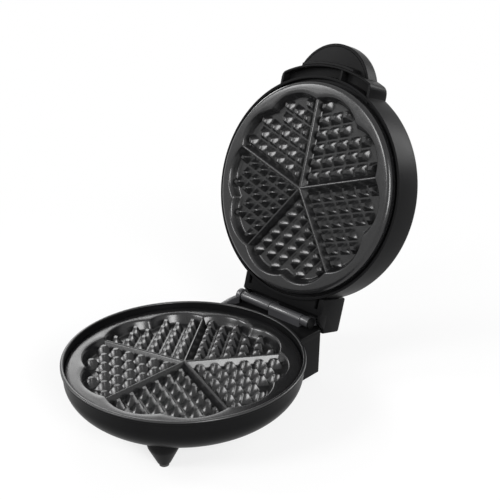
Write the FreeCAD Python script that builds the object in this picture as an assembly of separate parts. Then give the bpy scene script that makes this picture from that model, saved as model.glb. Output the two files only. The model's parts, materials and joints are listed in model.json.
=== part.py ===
import FreeCAD, Part
import os
from math import atan2, ceil, cos, hypot, pi, radians, sin, sqrt, tan

# Electric heart waffle maker, standing open. Millimetres, +Z up, the hinge at +Y.
# Everything is modelled about the plate axis with the lid shut, then the lid is
# swung open about the hinge axis and the whole is centred over its footprint.

# Fits and overruns
overrun = 1.0            # how far a cutting body runs past the face it cuts
same_place = 0.01        # faces closer than this are one face
sink = 0.5               # how far a rib or peg is rooted in its wall
cover_fit = 0.15         # gap round a cover or lens in its opening
thread_fit = 0.05        # screw in its tapped hole, on the radius
through_fit = 0.25       # screw in its clearance hole, on the radius
pin_hold = 0.02          # hinge pin in the knuckle that holds it
pin_run = 0.08           # hinge pin in the knuckle that turns on it
lead_fit = 0.3           # wire or sleeve in its channel
flange_fit = 0.3         # lower plate inside the raised lip
turn_gap = 0.5           # between knuckles along the axis
end_gap = 0.3            # between faces that turn against each other
tube_seat = 0.05         # heater tube under its plate
clamp_ease = 0.3         # clamp round the bent heater tube

# Waffle pattern: ten lobes around five hearts
hearts = 5
lobe_centre_r = 51.4     # from the plate axis to each lobe's centre
lobe_r = 37.9            # lobe radius at the flange
cavity_depth = 9.0
draft_inset = 4.2        # how far the cavity floor lies inside the flange outline
peg_pitch = 13.0
peg_first = 9.8          # first peg from each divider
peg_base_half = 5.0
peg_top_half = 1.9
peg_height = 7.0
peg_clear = 3.4          # peg centre inside the floor outline
ridge_base_half = 3.7
ridge_top_half = 0.8
ridge_height = 7.0
ridge_root = 2.0         # divider end inside the cavity wall
first_divider = -90.0    # degrees

# Cast plates
floor_thick = 3.5
flange_thick = 3.0
dish_wall = 2.2          # outside the lobe tips
skirt_gap = 5.0          # upper plate, from dish to skirt
skirt_thick = 2.5
upper_round = 4.5        # rounded shoulder of the upper plate's flange
lower_round = 1.6        # rounded edge of the lower plate's flange
plate_proud = 5.6        # upper plate below the lid rim

# Base bowl
wall = 2.5
ground_gap = 13.1
belly_height = 30.3
belly_reach = 47.9       # how far the curved belly reaches in from the wall
wall_lean = 0.4
lip_overhang = 1.3
lip_band = 3.0
lip_thick = 2.7
lip_rise = 6.0           # lip above the lower plate's flange
ledge_thick = 3.1
ledge_width = 6.5
dish_gap = 3.5           # from a plate's dish to the ledge that carries it

# Lid shell, shut
lid_gap = 0.8
lid_groove = 2.7         # from the upper plate's skirt to the lid rim
lid_bulge = 1.3
lid_wall_height = 27.9
lid_corner_reach = 31.2
lid_corner_height = 9.6
lid_dome = 1.7
lid_ledge_up = 3.7       # ledge above the rim
lid_ledge_thick = 2.5
bulge_share = 0.72       # of the lid's bulge reached at half the wall's height

# Hinge
hinge_behind = 14.5      # axis behind the lip
hinge_above = 0.5        # axis above the lip
open_angle = 104.48      # degrees
barrel_r = 5.0
ear_r = 6.5
ear_length = 5.0
left_knuckle_length = 36.5
right_knuckle_length = 9.5
hinge_end_inset = 8.0    # right knuckle's end inside the tower's side
lid_web_half = 3.5
cap_r = 5.2
cap_thick = 1.5
cap_stem_r = 1.9
cap_stem_length = 1.2
pin_r = 2.0
pin_head_r = 3.2
pin_head_length = 1.5
left_pin_reach = 18.0    # left pin inside the lid knuckle
chamber_depth_left = 13.0
chamber_depth_right = 16.0
sleeve_r = 2.4
sleeve_bore_r = 1.5
sleeve_in_lid = 6.5
sleeve_in_base = 6.0
channel_in_lid = 10.5    # wire channel from the knuckle's end face
channel_in_base = 13.0

# Tower behind the bowl
tower_half = 49.5
tower_round = 3.0        # its upright rear corners
tower_depth = 38.5
tower_behind_axis = 7.8
tower_below_axis = 6.0
cheek_above_axis = 1.0   # web between the lip and the ear
cheek_run = 10.0         # its sloping start at the lip
cheek_rise = 1.5
tower_keep = 2.4         # stock kept under the plate ledge
cover_thick = 2.5
post_r = 4.5
post_height = 32.0
post_inset = 6.5
post_behind = 19.0       # from the tower's front wall

# Front feet and pads
foot_x = 47.0
foot_behind_lip = 39.5   # from the front of the lip
foot_r = 13.3
foot_tip_r = 5.0
foot_cone = 17.0
foot_length = 26.0
pad_r = 4.0
pad_thick = 2.0
pad_plug_r = 3.0
pad_plug_length = 2.0
rear_pad_inset = 14.5    # from the tower's side
rear_pad_before_axis = 1.7
rear_pad_r = 6.0
rear_pad_height = 5.5
rear_plug_r = 2.5
rear_plug_length = 3.0

# Plate fastening, alike below and above
mount_inside = 20.0      # studs inside the heater ring
mount_angles = (30.0, 150.0, 270.0)
stud_r = 5.0
stud_length = 8.7
stud_hole_depth = 10.0
boss_r = 6.0
screw_r = 2.0
screw_head_r = 3.8
screw_head = 2.5
well_r = 4.5
base_well_depth = 3.9
lid_boss_r = 7.0
lid_seat_above = 7.3     # screw seat above the upper reflector
reflector_beyond = 14.0  # outside the heater ring
reflector_thick = 0.8
reflector_rim = 1.9
reflector_hole_r = 8.0

# Heating elements
heater_beyond = 4.6      # heater ring outside the lobes' centres
tube_r = 3.2
heater_gap_angle = 20.0  # half the gap at the rear, in degrees
heater_bend = 8.0
terminal_before_axis = 34.5  # terminal tips before the hinge axis
terminal_r = 1.5
terminal_length = 8.0
clamp_angles = (20.0, 160.0, 270.0)
clamp_thick = 1.2
clamp_width = 8.0
clamp_tab = 6.0
rivet_r = 1.2
rivet_head_r = 2.2
rivet_head = 1.0
rivet_depth = 2.0

# Thermostat, fuse and connections
thermostat_r = 8.0
thermostat_height = 6.0
thermostat_ear = 6.0
thermostat_ear_half = 3.5
thermostat_ear_thick = 1.5
small_screw_r = 1.4
small_screw_head_r = 2.6
small_screw_head = 1.4
small_screw_depth = 2.2
blade_half = 1.6
blade_thick = 0.8
blade_length = 4.0
blade_x = 4.0
wire_r = 1.2
wire_bend = 4.0
tight_bend = 3.0
wire_end_gap = 0.2
wire_below = 6.5         # leads under the lower reflector
wire_climb = 16.0        # leads start to climb this far before the tower
wire_level = 4.0         # and are level again this far before it
wire_over_drop = 10.0    # below the bowl's edge where they cross it
fuse_r = 2.2
fuse_length = 12.0
fuse_y = 40.0
earth_beyond = 6.0       # earth post outside the heater ring
earth_post_r = 4.0
earth_post = 4.0
earth_lug_thick = 0.8
earth_lug_length = 6.0
block_half = 18.0
block_depth = 9.0
block_height = 10.0
block_above_cover = 1.0
block_lead_back = 4.5    # leads from the terminal block's front
hinge_lead_aside = 15.0  # to the right of the channel in the base knuckle
hinge_lead_start_x = 9.0

# Cord gland and clamp
gland_z = 20.0
gland_bore_r = 3.3
gland_neck_r = 5.5
gland_flange_r = 7.5
gland_flange = 2.5
gland_tail_r = 5.0
gland_tail = 5.0
gland_inner_r = 6.5
gland_inner = 1.5
clamp_post_x = 9.0
clamp_post_r = 3.5
clamp_behind = 22.5      # from the tower's front face
clamp_bar_half = 14.0
clamp_bar_depth = 7.0
clamp_bar_thick = 3.0
saddle_half = 1.5
saddle_gap = 0.2

# Lid block over the hinge
block_drop = 12.0        # its underside above the hinge axis
lid_block_behind = 9.3
lid_block_length = 34.0
lid_block_height = 28.0
lid_block_round = 5.0
skirt_above_axis = 3.0   # block's lower front edge above the hinge axis
skirt_before_axis = 7.7  # and how near it comes to the axis
bracket_thick = 3.5      # sides of the block beside the barrel
bracket_ear_behind = 0.3 # left side, clear of the ear
bracket_before_axis = 2.7
bracket_behind_axis = 5.3
lamp_before_axis = 10.7
lamp_r = 4.0
lamp_rise = 1.2
lamp_stem_r = 3.0
lamp_stem = 3.5
lamp_body_r = 3.2
lamp_body = 8.5
splice_half = 7.0
splice_depth = 7.0
splice_height = 8.0
splice_before_axis = 5.7

# Handle and its shoulder
shoulder_stand = 9.5     # outside the widest part of the lid
shoulder_half = 51.0
shoulder_wall = 2.3
shoulder_corner = 6.0    # its ends seen from above
shoulder_round = 4.0     # along its top
shoulder_up = 3.7        # its lower edge above the lid rim
shoulder_top_drop = 9.5  # its top below the middle of the dome
channel_roof = 3.0
shoulder_rib_x = 17.0
shoulder_rib_half = 1.0
handle_r = 42.4
handle_reach = 20.6      # its front beyond the shoulder's face
handle_up = 11.7         # its underside above the lid rim
handle_height = 22.0
handle_round = 10.0
collar_stand = 2.5       # handle's collar outside the shoulder
collar_half = 29.0
handle_seat = 0.1
handle_post_r = 3.5
handle_post_inset = 8.6  # from the handle's front
handle_screw_x = 18.0
handle_screw_up = 10.0
handle_boss_r = 4.0
handle_boss_length = 11.0
handle_screw_r = 1.5
handle_screw_head_r = 2.8
handle_screw_head = 1.8
handle_screw_depth = 9.0

# Disc that hides the lid's screws
disc_cover = 7.0         # disc beyond the screws that it hides
disc_thick = 1.5
disc_recess = 1.9
disc_backing = 2.4
disc_margin = 3.0

# Heights, from the ground up
belly_top_z = ground_gap + belly_height
ledge_z = belly_top_z + ledge_thick
flange_top_z = ledge_z + flange_thick
floor_z = flange_top_z - cavity_depth
under_z = floor_z - floor_thick
lip_top_z = flange_top_z + lip_rise
hinge_z = lip_top_z + hinge_above
rim_z = lip_top_z + lid_gap
upper_face_z = rim_z - plate_proud
upper_floor_z = upper_face_z + cavity_depth
upper_back_z = upper_floor_z + floor_thick
lid_ledge_z = rim_z + lid_ledge_up
lid_corner_z = rim_z + lid_wall_height
lid_edge_z = lid_corner_z + lid_corner_height
lid_top_z = lid_edge_z + lid_dome

# Radii, from the pattern outwards
heater_r = lobe_centre_r + heater_beyond
mount_r = heater_r - mount_inside
reflector_r = heater_r + reflector_beyond
disc_r = mount_r + disc_cover
dish_r = lobe_centre_r + lobe_r + dish_wall
ledge_r = dish_r + dish_gap
lip_inner_r = ledge_r + ledge_width
flange_r = lip_inner_r - flange_fit
lip_outer_r = lip_inner_r + lip_thick
wall_top_r = lip_outer_r - lip_overhang
belly_r = wall_top_r - wall_lean
belly_flat_r = belly_r - belly_reach
skirt_r = dish_r + skirt_gap + skirt_thick
rim_inner_r = skirt_r + lid_groove
rim_r = rim_inner_r + wall
lid_r = rim_r + lid_bulge
shoulder_r = lid_r + shoulder_stand

# Places along the depth
foot_y = foot_behind_lip - lip_outer_r
handle_centre_y = handle_r - shoulder_r - handle_reach
handle_post_y = handle_centre_y - handle_r + handle_post_inset
earth_y = heater_r + earth_beyond
hinge_y = lip_outer_r + hinge_behind
terminal_tip_y = hinge_y - terminal_before_axis
tower_back_y = hinge_y + tower_behind_axis
tower_front_y = tower_back_y - tower_depth
tower_top_z = hinge_z - tower_below_axis
tower_inner_half = tower_half - wall
tower_inner_front_y = tower_front_y + wall
tower_inner_back_y = tower_back_y - wall
tower_ceiling_z = tower_top_z - wall
cover_top_z = rear_pad_height + cover_thick
wire_climb_y = tower_front_y - wire_climb
wire_over_y = tower_front_y - wire_level
wire_over_z = belly_top_z - tower_keep - wire_over_drop
block_back_y = hinge_y + lid_block_behind
block_front_y = block_back_y - lid_block_length
block_bottom_z = hinge_z + block_drop
block_top_z = block_bottom_z + lid_block_height
block_ceiling_z = block_top_z - wall
skirt_z = hinge_z + skirt_above_axis
skirt_y = hinge_y - skirt_before_axis
cheek_z = hinge_z + cheek_above_axis
shoulder_low_z = rim_z + shoulder_up

# Places along the hinge axis
ear_right_x = -tower_half + ear_length
left_knuckle_x = ear_right_x + turn_gap
left_knuckle_end_x = left_knuckle_x + left_knuckle_length
middle_x = left_knuckle_end_x + turn_gap
right_knuckle_end_x = tower_half - hinge_end_inset
right_knuckle_x = right_knuckle_end_x - right_knuckle_length
middle_end_x = right_knuckle_x - turn_gap
lid_channel_x = left_knuckle_end_x - channel_in_lid
base_channel_x = middle_x + channel_in_base
rear_pad_x = tower_half - rear_pad_inset
lamp_x = -lid_channel_x
hinge_lead_x = base_channel_x + hinge_lead_aside

# Plate stack, measured from each plate's back
reflector_low_z = under_z - stud_length - reflector_thick
wire_floor = reflector_low_z - wire_below
upper_reflector_z = upper_back_z + stud_length
heater_z = under_z - tube_r - tube_seat
upper_heater_z = upper_back_z + tube_r + tube_seat

X_AXIS = FreeCAD.Vector(1, 0, 0)
Y_AXIS = FreeCAD.Vector(0, 1, 0)
Z_AXIS = FreeCAD.Vector(0, 0, 1)


# Plain bodies
def at(x=0, y=0, z=0):
    return FreeCAD.Vector(x, y, z)


def polar(radius, degrees, z=0):
    angle = radians(degrees)
    return at(radius * cos(angle), radius * sin(angle), z)


def box(x0, x1, y0, y1, z0, z1):
    return Part.makeBox(x1 - x0, y1 - y0, z1 - z0, at(x0, y0, z0))


def rod(radius, start, end):
    run = end - start
    return Part.makeCylinder(radius, run.Length, start, run)


def cone(radius0, radius1, start, end):
    run = end - start
    return Part.makeCone(radius0, radius1, run.Length, start, run)


def upright(radius, x, y, z0, z1):
    return rod(radius, at(x, y, z0), at(x, y, z1))


def joined(shapes):
    first = shapes[0]
    return first.fuse(list(shapes[1:])).removeSplitter() if len(shapes) > 1 else first


def turned(edges):
    face = Part.Face(Part.Wire(edges))
    return face.revolve(at(), Z_AXIS, 360)


def rings_at(shape, z):
    """Closed edges that lie level at one height."""
    level = []
    for edge in shape.Edges:
        span = edge.BoundBox
        if edge.Closed and abs(span.ZMin - z) < same_place and abs(span.ZMax - z) < same_place:
            level.append(edge)
    return level


def line(a, b):
    return Part.makeLine(at(a[0], 0, a[1]), at(b[0], 0, b[1]))


def chain(points):
    return [line(a, b) for a, b in zip(points, points[1:])]


def quarter(centre, reach, rise, start, end):
    """Quarter of an ellipse in the radius-height plane, from the start to the end angle."""
    along = at(centre[0] + reach, 0, centre[1])
    across = at(centre[0], 0, centre[1] + rise)
    middle = at(centre[0], 0, centre[1])
    if abs(rise) > reach:
        curve = Part.Ellipse(across, along, middle)
        return Part.ArcOfEllipse(curve, pi / 2 - end, pi / 2 - start).toShape()
    curve = Part.Ellipse(along, across, middle)
    return Part.ArcOfEllipse(curve, start, end).toShape()


def arc(a, b, c):
    return Part.Arc(at(a[0], 0, a[1]), at(b[0], 0, b[1]), at(c[0], 0, c[1])).toShape()


def head_screw(seat, tip, shank_r, head_r, head):
    """Pan screw: its shank runs from the seat to the tip, its head stands behind the seat."""
    way = (tip - seat).normalize()
    return joined([rod(shank_r, seat, tip), rod(head_r, seat - way * head, seat)])


def tube(points, radius, bend):
    """Round tube along straight runs joined by tangent arcs of one bend radius."""
    edges = []
    last = points[0]
    for before, corner, after in zip(points, points[1:], points[2:]):
        back = (before - corner).normalize()
        ahead = (after - corner).normalize()
        half = back.getAngle(ahead) / 2
        trim = bend / tan(half)
        start = corner + back * trim
        end = corner + ahead * trim
        inward = (back + ahead).normalize()
        middle = corner + inward * (bend / sin(half) - bend)
        edges.append(Part.makeLine(last, start))
        edges.append(Part.Arc(start, middle, end).toShape())
        last = end
    edges.append(Part.makeLine(last, points[-1]))
    path = Part.Wire(edges)
    ring = Part.Wire(Part.makeCircle(radius, points[0], points[1] - points[0]))
    return path.makePipeShell([ring], True, False)


# Waffle pattern
def outline_r(angle, inset):
    """Radius of the ten-lobed outline, drawn in by the inset, at an angle in radians."""
    step = pi / hearts
    first_lobe = radians(first_divider) + step / 2
    off = angle - first_lobe
    off = off - step * round(off / step)
    radius = lobe_r - inset
    return lobe_centre_r * cos(off) + sqrt(radius ** 2 - (lobe_centre_r * sin(off)) ** 2)


def outline(inset, z):
    step = 180.0 / hearts
    arcs = []
    for lobe in range(2 * hearts):
        start = first_divider + step * lobe
        cusp = outline_r(radians(start), inset)
        tip = lobe_centre_r + lobe_r - inset
        points = [polar(cusp, start, z), polar(tip, start + step / 2, z), polar(cusp, start + step, z)]
        arcs.append(Part.Arc(*points).toShape())
    return Part.Wire(arcs)


def cavity(floor, face, way):
    """Batter cavity from its floor past the flange face; way is +1 when it opens upwards."""
    slope = draft_inset / cavity_depth
    top = outline(-slope * overrun, face + way * overrun)
    return Part.makeLoft([outline(draft_inset, floor), top], True, True)


def frustum(base, top):
    return Part.makeLoft([Part.makePolygon(base + base[:1]), Part.makePolygon(top + top[:1])], True, True)


def peg(centre, along, across, floor, way):
    """Pyramid stub on a rhombus whose sides follow the two dividers of its heart."""
    def rhombus(half, z):
        corners = [(-half, -half), (half, -half), (half, half), (-half, half)]
        return [centre + along * a + across * b + at(z=z) for a, b in corners]
    spread = (peg_base_half - peg_top_half) / peg_height
    root = rhombus(peg_base_half + spread * sink, floor - way * sink)
    return frustum(root, rhombus(peg_top_half, floor + way * peg_height))


def heart_pegs(heart, floor, way):
    along = polar(1, first_divider + heart * 360.0 / hearts)
    across = polar(1, first_divider + (heart + 1) * 360.0 / hearts)
    most = ceil((lobe_centre_r + lobe_r) / peg_pitch)
    pegs = []
    for i in range(most):
        for j in range(most):
            centre = along * (peg_first + peg_pitch * i) + across * (peg_first + peg_pitch * j)
            limit = outline_r(atan2(centre.y, centre.x), draft_inset + peg_clear)
            if hypot(centre.x, centre.y) <= limit:
                pegs.append(peg(centre, along, across, floor, way))
    return pegs


def divider(heart, floor, way):
    """Sloping rib from the middle of the plate into the cavity wall."""
    degrees = first_divider + heart * 360.0 / hearts
    reach = outline_r(radians(degrees), 0) + ridge_root
    along = polar(1, degrees)
    side = polar(1, degrees + 90)
    spread = (ridge_base_half - ridge_top_half) / ridge_height
    root_half = ridge_base_half + spread * sink
    section = []
    for half, z in ((-root_half, -sink), (root_half, -sink), (ridge_top_half, ridge_height),
                    (-ridge_top_half, ridge_height)):
        section.append(side * half + at(z=floor + way * z))
    return Part.Face(Part.makePolygon(section + section[:1])).extrude(along * reach)


def pattern(floor, way):
    shapes = [divider(heart, floor, way) for heart in range(hearts)]
    for heart in range(hearts):
        shapes += heart_pegs(heart, floor, way)
    return shapes


# Base
def bowl_outside():
    edges = chain([(0, ground_gap), (belly_flat_r, ground_gap)])
    edges.append(quarter((belly_flat_r, belly_top_z), belly_reach, -belly_height, 0, pi / 2))
    edges += chain([(belly_r, belly_top_z), (wall_top_r, lip_top_z - lip_band),
                    (lip_outer_r, lip_top_z - lip_band), (lip_outer_r, lip_top_z), (0, lip_top_z),
                    (0, ground_gap)])
    return turned(Part.__sortEdges__(edges))


def bowl_inside():
    inner_floor = ground_gap + wall
    above = lip_top_z + overrun
    edges = chain([(0, inner_floor), (belly_flat_r, inner_floor)])
    edges.append(quarter((belly_flat_r, belly_top_z), belly_reach - wall, wall - belly_height, 0, pi / 2))
    edges += chain([(belly_r - wall, belly_top_z), (ledge_r, belly_top_z), (ledge_r, ledge_z),
                    (lip_inner_r, ledge_z), (lip_inner_r, above), (0, above), (0, inner_floor)])
    return turned(Part.__sortEdges__(edges))


def tower_inside():
    below = rear_pad_height - overrun
    space = box(-tower_inner_half, tower_inner_half, tower_inner_front_y, tower_inner_back_y,
                below, tower_ceiling_z)
    keep_z = belly_top_z - tower_keep
    return space.cut(upright(lip_outer_r, 0, 0, keep_z, lip_top_z))


def foot(side):
    top_z = pad_thick + foot_length
    cone_z = pad_thick + foot_cone
    tip = cone(foot_tip_r, foot_r, at(side * foot_x, foot_y, pad_thick), at(side * foot_x, foot_y, cone_z))
    return tip.fuse(upright(foot_r, side * foot_x, foot_y, cone_z, top_z))


def side_plate(x0, x1, corners):
    """Flat body between two planes across the hinge axis, from its corners (y, z)."""
    points = [at(x0, y, z) for y, z in corners + corners[:1]]
    return Part.Face(Part.makePolygon(points)).extrude(X_AXIS * (x1 - x0))


def tower():
    body = box(-tower_half, tower_half, tower_front_y, tower_back_y, rear_pad_height, tower_top_z)
    rear = [edge for edge in body.Edges if edge.BoundBox.ZLength > wall
            and edge.BoundBox.YMin > tower_inner_back_y]
    return body.makeFillet(tower_round, rear)


def ear_cheek():
    """Web that runs from the bowl's lip back to the ear."""
    start_y = sqrt(lip_inner_r ** 2 - tower_half ** 2) + lip_thick
    corners = [(start_y, tower_ceiling_z), (start_y, cheek_z - cheek_rise), (start_y + cheek_run, cheek_z),
               (hinge_y, cheek_z), (hinge_y, tower_ceiling_z)]
    return side_plate(-tower_half, ear_right_x, corners)


def base_knuckles():
    """Ear at the left and the long middle knuckle, both standing on the tower's top."""
    ear_end = ear_right_x
    root_z = tower_ceiling_z
    ear = rod(ear_r, at(-tower_half, hinge_y, hinge_z), at(ear_end, hinge_y, hinge_z))
    ear_stem = box(-tower_half, ear_end, hinge_y - ear_r, hinge_y + ear_r, root_z, hinge_z)
    middle = rod(barrel_r, at(middle_x, hinge_y, hinge_z), at(middle_end_x, hinge_y, hinge_z))
    middle_stem = box(middle_x, middle_end_x, hinge_y - barrel_r, hinge_y + barrel_r, root_z, hinge_z)
    return [ear, ear_stem, ear_cheek(), middle, middle_stem]


def base_knuckle_bores():
    axis = lambda x: at(x, hinge_y, hinge_z)
    hold_r = pin_r + pin_hold
    chamber_end = middle_x + chamber_depth_right
    return [rod(hold_r, axis(-tower_half - overrun), axis(ear_right_x + overrun)),
            rod(pin_head_r + pin_hold, axis(-tower_half - overrun), axis(-tower_half + pin_head_length)),
            rod(sleeve_r + lead_fit, axis(middle_x - overrun), axis(chamber_end)),
            rod(hold_r, axis(chamber_end - overrun), axis(middle_end_x + overrun)),
            upright(wire_r + lead_fit, base_channel_x, hinge_y, tower_ceiling_z - overrun, hinge_z)]


def mount_points(z=0):
    return [polar(mount_r, degrees, z) for degrees in mount_angles]


def tower_posts():
    """Posts for the cover's screws at the side walls, and the cord clamp's posts with their saddle."""
    bodies = []
    for side in (-1, 1):
        x = side * (tower_half - post_inset)
        bodies.append(upright(post_r, x, tower_front_y + post_behind, cover_top_z,
                              cover_top_z + post_height))
    clamp_y = tower_front_y + clamp_behind
    low_z = gland_z - gland_bore_r
    for side in (-1, 1):
        bodies.append(upright(clamp_post_r, side * clamp_post_x, clamp_y, low_z, tower_ceiling_z + sink))
    saddle_z = gland_z + gland_bore_r + saddle_gap
    bodies.append(box(-clamp_post_x, clamp_post_x, clamp_y - saddle_half, clamp_y + saddle_half,
                      saddle_z, tower_ceiling_z + sink))
    return bodies


def base_housing():
    shell = joined([bowl_outside(), tower(), foot(-1), foot(1)] + base_knuckles())
    shell = shell.cut([bowl_inside(), tower_inside()])
    inner_floor = ground_gap + wall
    bosses = [upright(boss_r, p.x, p.y, inner_floor - sink, reflector_low_z) for p in mount_points()]
    shell = joined([shell] + bosses + tower_posts())
    tools = base_knuckle_bores()
    for point in mount_points():
        tools.append(upright(screw_r + through_fit, point.x, point.y, ground_gap, reflector_low_z + overrun))
        tools.append(upright(well_r, point.x, point.y, ground_gap - overrun, ground_gap + base_well_depth))
    for side in (-1, 1):
        tools.append(upright(pad_plug_r + cover_fit, side * foot_x, foot_y, pad_thick - overrun,
                             pad_thick + pad_plug_length))
        post_x = side * (tower_half - post_inset)
        post_y = tower_front_y + post_behind
        tools.append(upright(small_screw_r + thread_fit, post_x, post_y, cover_top_z - overrun,
                             cover_top_z + post_height / 2))
        tools.append(upright(small_screw_r + thread_fit, side * clamp_post_x, tower_front_y + clamp_behind,
                             gland_z - gland_bore_r - overrun, gland_z + gland_bore_r * 2))
    tools.append(rod(gland_neck_r + cover_fit, at(0, tower_inner_back_y - overrun, gland_z),
                     at(0, tower_back_y + overrun, gland_z)))
    return shell.cut(tools)


def tower_cover():
    panel = box(-tower_inner_half + cover_fit, tower_inner_half - cover_fit,
                tower_inner_front_y + cover_fit, tower_inner_back_y - cover_fit,
                rear_pad_height, cover_top_z)
    tools = []
    for side in (-1, 1):
        x = side * (tower_half - post_inset)
        y = tower_front_y + post_behind
        tools.append(upright(small_screw_r + through_fit, x, y, rear_pad_height - overrun,
                             cover_top_z + overrun))
        tools.append(upright(small_screw_head_r + through_fit, x, y, rear_pad_height - overrun,
                             rear_pad_height + small_screw_head))
        tools.append(upright(rear_plug_r + thread_fit, side * rear_pad_x, hinge_y - rear_pad_before_axis,
                             rear_pad_height - overrun, cover_top_z + overrun))
    return panel.cut(tools)


def tower_cover_screws():
    screws = []
    for side in (-1, 1):
        x = side * (tower_half - post_inset)
        y = tower_front_y + post_behind
        seat = at(x, y, rear_pad_height + small_screw_head)
        screws.append(head_screw(seat, seat + Z_AXIS * (cover_thick + post_height / 4),
                                 small_screw_r, small_screw_head_r, small_screw_head))
    return Part.makeCompound(screws)


def front_pads():
    pads = []
    for side in (-1, 1):
        x = side * foot_x
        pads.append(joined([upright(pad_r, x, foot_y, 0, pad_thick),
                            upright(pad_plug_r, x, foot_y, 0, pad_thick + pad_plug_length)]))
    return Part.makeCompound(pads)


def rear_pads():
    pads = []
    for side in (-1, 1):
        x = side * rear_pad_x
        y = hinge_y - rear_pad_before_axis
        pads.append(joined([upright(rear_pad_r, x, y, 0, rear_pad_height),
                            upright(rear_plug_r, x, y, 0, rear_pad_height + rear_plug_length)]))
    return Part.makeCompound(pads)


# Plates
def stud_holes(back, way):
    """Tapped holes in the studs; way is +1 when the studs hang below their plate."""
    tools = []
    for point in mount_points():
        low, high = sorted((back - way * (stud_length + overrun),
                            back - way * (stud_length - stud_hole_depth)))
        tools.append(upright(screw_r + thread_fit, point.x, point.y, low, high))
    for point in rivet_points(back):
        low, high = sorted((point.z - way * overrun, point.z + way * rivet_depth))
        tools.append(upright(rivet_r + thread_fit, point.x, point.y, low, high))
    return tools


def studs(back, way):
    bodies = []
    for point in mount_points():
        low, high = sorted((back - way * stud_length, back + way * sink))
        bodies.append(upright(stud_r, point.x, point.y, low, high))
    return bodies


def rivet_points(z):
    reach = tube_r + clamp_ease + clamp_thick + clamp_tab / 2
    points = []
    for degrees in clamp_angles:
        points += [polar(heater_r - reach, degrees, z), polar(heater_r + reach, degrees, z)]
    return points


def thermostat_screw_points(z):
    reach = thermostat_r + thermostat_ear / 2
    return [at(-reach, 0, z), at(reach, 0, z)]


def lower_plate():
    flange = upright(flange_r, 0, 0, ledge_z, flange_top_z)
    flange = flange.makeFillet(lower_round, rings_at(flange, flange_top_z))
    dish = upright(dish_r, 0, 0, under_z, ledge_z + sink)
    body = flange.fuse(dish).removeSplitter().cut(cavity(floor_z, flange_top_z, 1))
    earth = upright(earth_post_r, 0, earth_y, under_z - earth_post, under_z + sink)
    body = joined([body] + pattern(floor_z, 1) + studs(under_z, 1) + [earth])
    tools = stud_holes(under_z, 1)
    for point in thermostat_screw_points(under_z):
        tools.append(upright(small_screw_r + thread_fit, point.x, point.y, under_z - overrun,
                             under_z + small_screw_depth))
    tools.append(upright(small_screw_r + thread_fit, 0, earth_y, under_z - earth_post - overrun, under_z))
    return body.cut(tools)


def upper_plate():
    face = upright(skirt_r, 0, 0, upper_face_z, lid_ledge_z)
    face = face.makeFillet(upper_round, rings_at(face, upper_face_z))
    groove_z = upper_face_z + flange_thick + upper_round / 2
    groove = upright(skirt_r - skirt_thick, 0, 0, groove_z, lid_ledge_z + overrun)
    groove = groove.cut(upright(dish_r, 0, 0, groove_z - overrun, lid_ledge_z + 2 * overrun))
    dish = upright(dish_r, 0, 0, groove_z, upper_back_z)
    body = face.cut(groove).fuse(dish).removeSplitter().cut(cavity(upper_floor_z, upper_face_z, -1))
    body = joined([body] + pattern(upper_floor_z, -1) + studs(upper_back_z, -1))
    return body.cut(stud_holes(upper_back_z, -1))


def plate_screws_low():
    screws = []
    for point in mount_points(ground_gap + base_well_depth):
        tip = at(point.x, point.y, under_z - stud_length / 2)
        screws.append(head_screw(point, tip, screw_r, screw_head_r, screw_head))
    return Part.makeCompound(screws)


def plate_screws_high():
    screws = []
    for point in mount_points(upper_reflector_z + reflector_thick + lid_seat_above):
        tip = at(point.x, point.y, upper_back_z + stud_length / 2)
        screws.append(head_screw(point, tip, screw_r, screw_head_r, screw_head))
    return Part.makeCompound(screws)


# Heating elements
def heater(z):
    """Ring-shaped tubular element, open at the rear, with two legs and their terminal pins."""
    gap = radians(heater_gap_angle)
    end_x = heater_r * sin(gap)
    end_y = heater_r * cos(gap)
    turn_x = end_x + heater_bend * sin(gap)
    turn_y = end_y + heater_bend * cos(gap)
    leg_x = turn_x - heater_bend
    half_turn = pi / 4 + gap / 2
    bend_mid = (turn_x - heater_bend * sin(half_turn), turn_y - heater_bend * cos(half_turn))
    far_y = terminal_tip_y - terminal_length
    mirror = lambda x, y: at(-x, y, z)
    edges = [Part.makeLine(at(leg_x, far_y, z), at(leg_x, turn_y, z)),
             Part.Arc(at(leg_x, turn_y, z), at(bend_mid[0], bend_mid[1], z), at(end_x, end_y, z)).toShape(),
             Part.Arc(at(end_x, end_y, z), at(0, -heater_r, z), mirror(end_x, end_y)).toShape(),
             Part.Arc(mirror(end_x, end_y), mirror(*bend_mid), mirror(leg_x, turn_y)).toShape(),
             Part.makeLine(mirror(leg_x, turn_y), mirror(leg_x, far_y))]
    ring = Part.Wire(Part.makeCircle(tube_r, at(leg_x, far_y, z), Y_AXIS))
    body = Part.Wire(edges).makePipeShell([ring], True, False)
    pins = [rod(terminal_r, at(x, far_y - sink, z), at(x, terminal_tip_y, z)) for x in (-leg_x, leg_x)]
    return joined([body] + pins)


def terminal_place():
    leg_x = (heater_r + heater_bend) * sin(radians(heater_gap_angle)) - heater_bend
    return leg_x, terminal_tip_y


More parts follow.
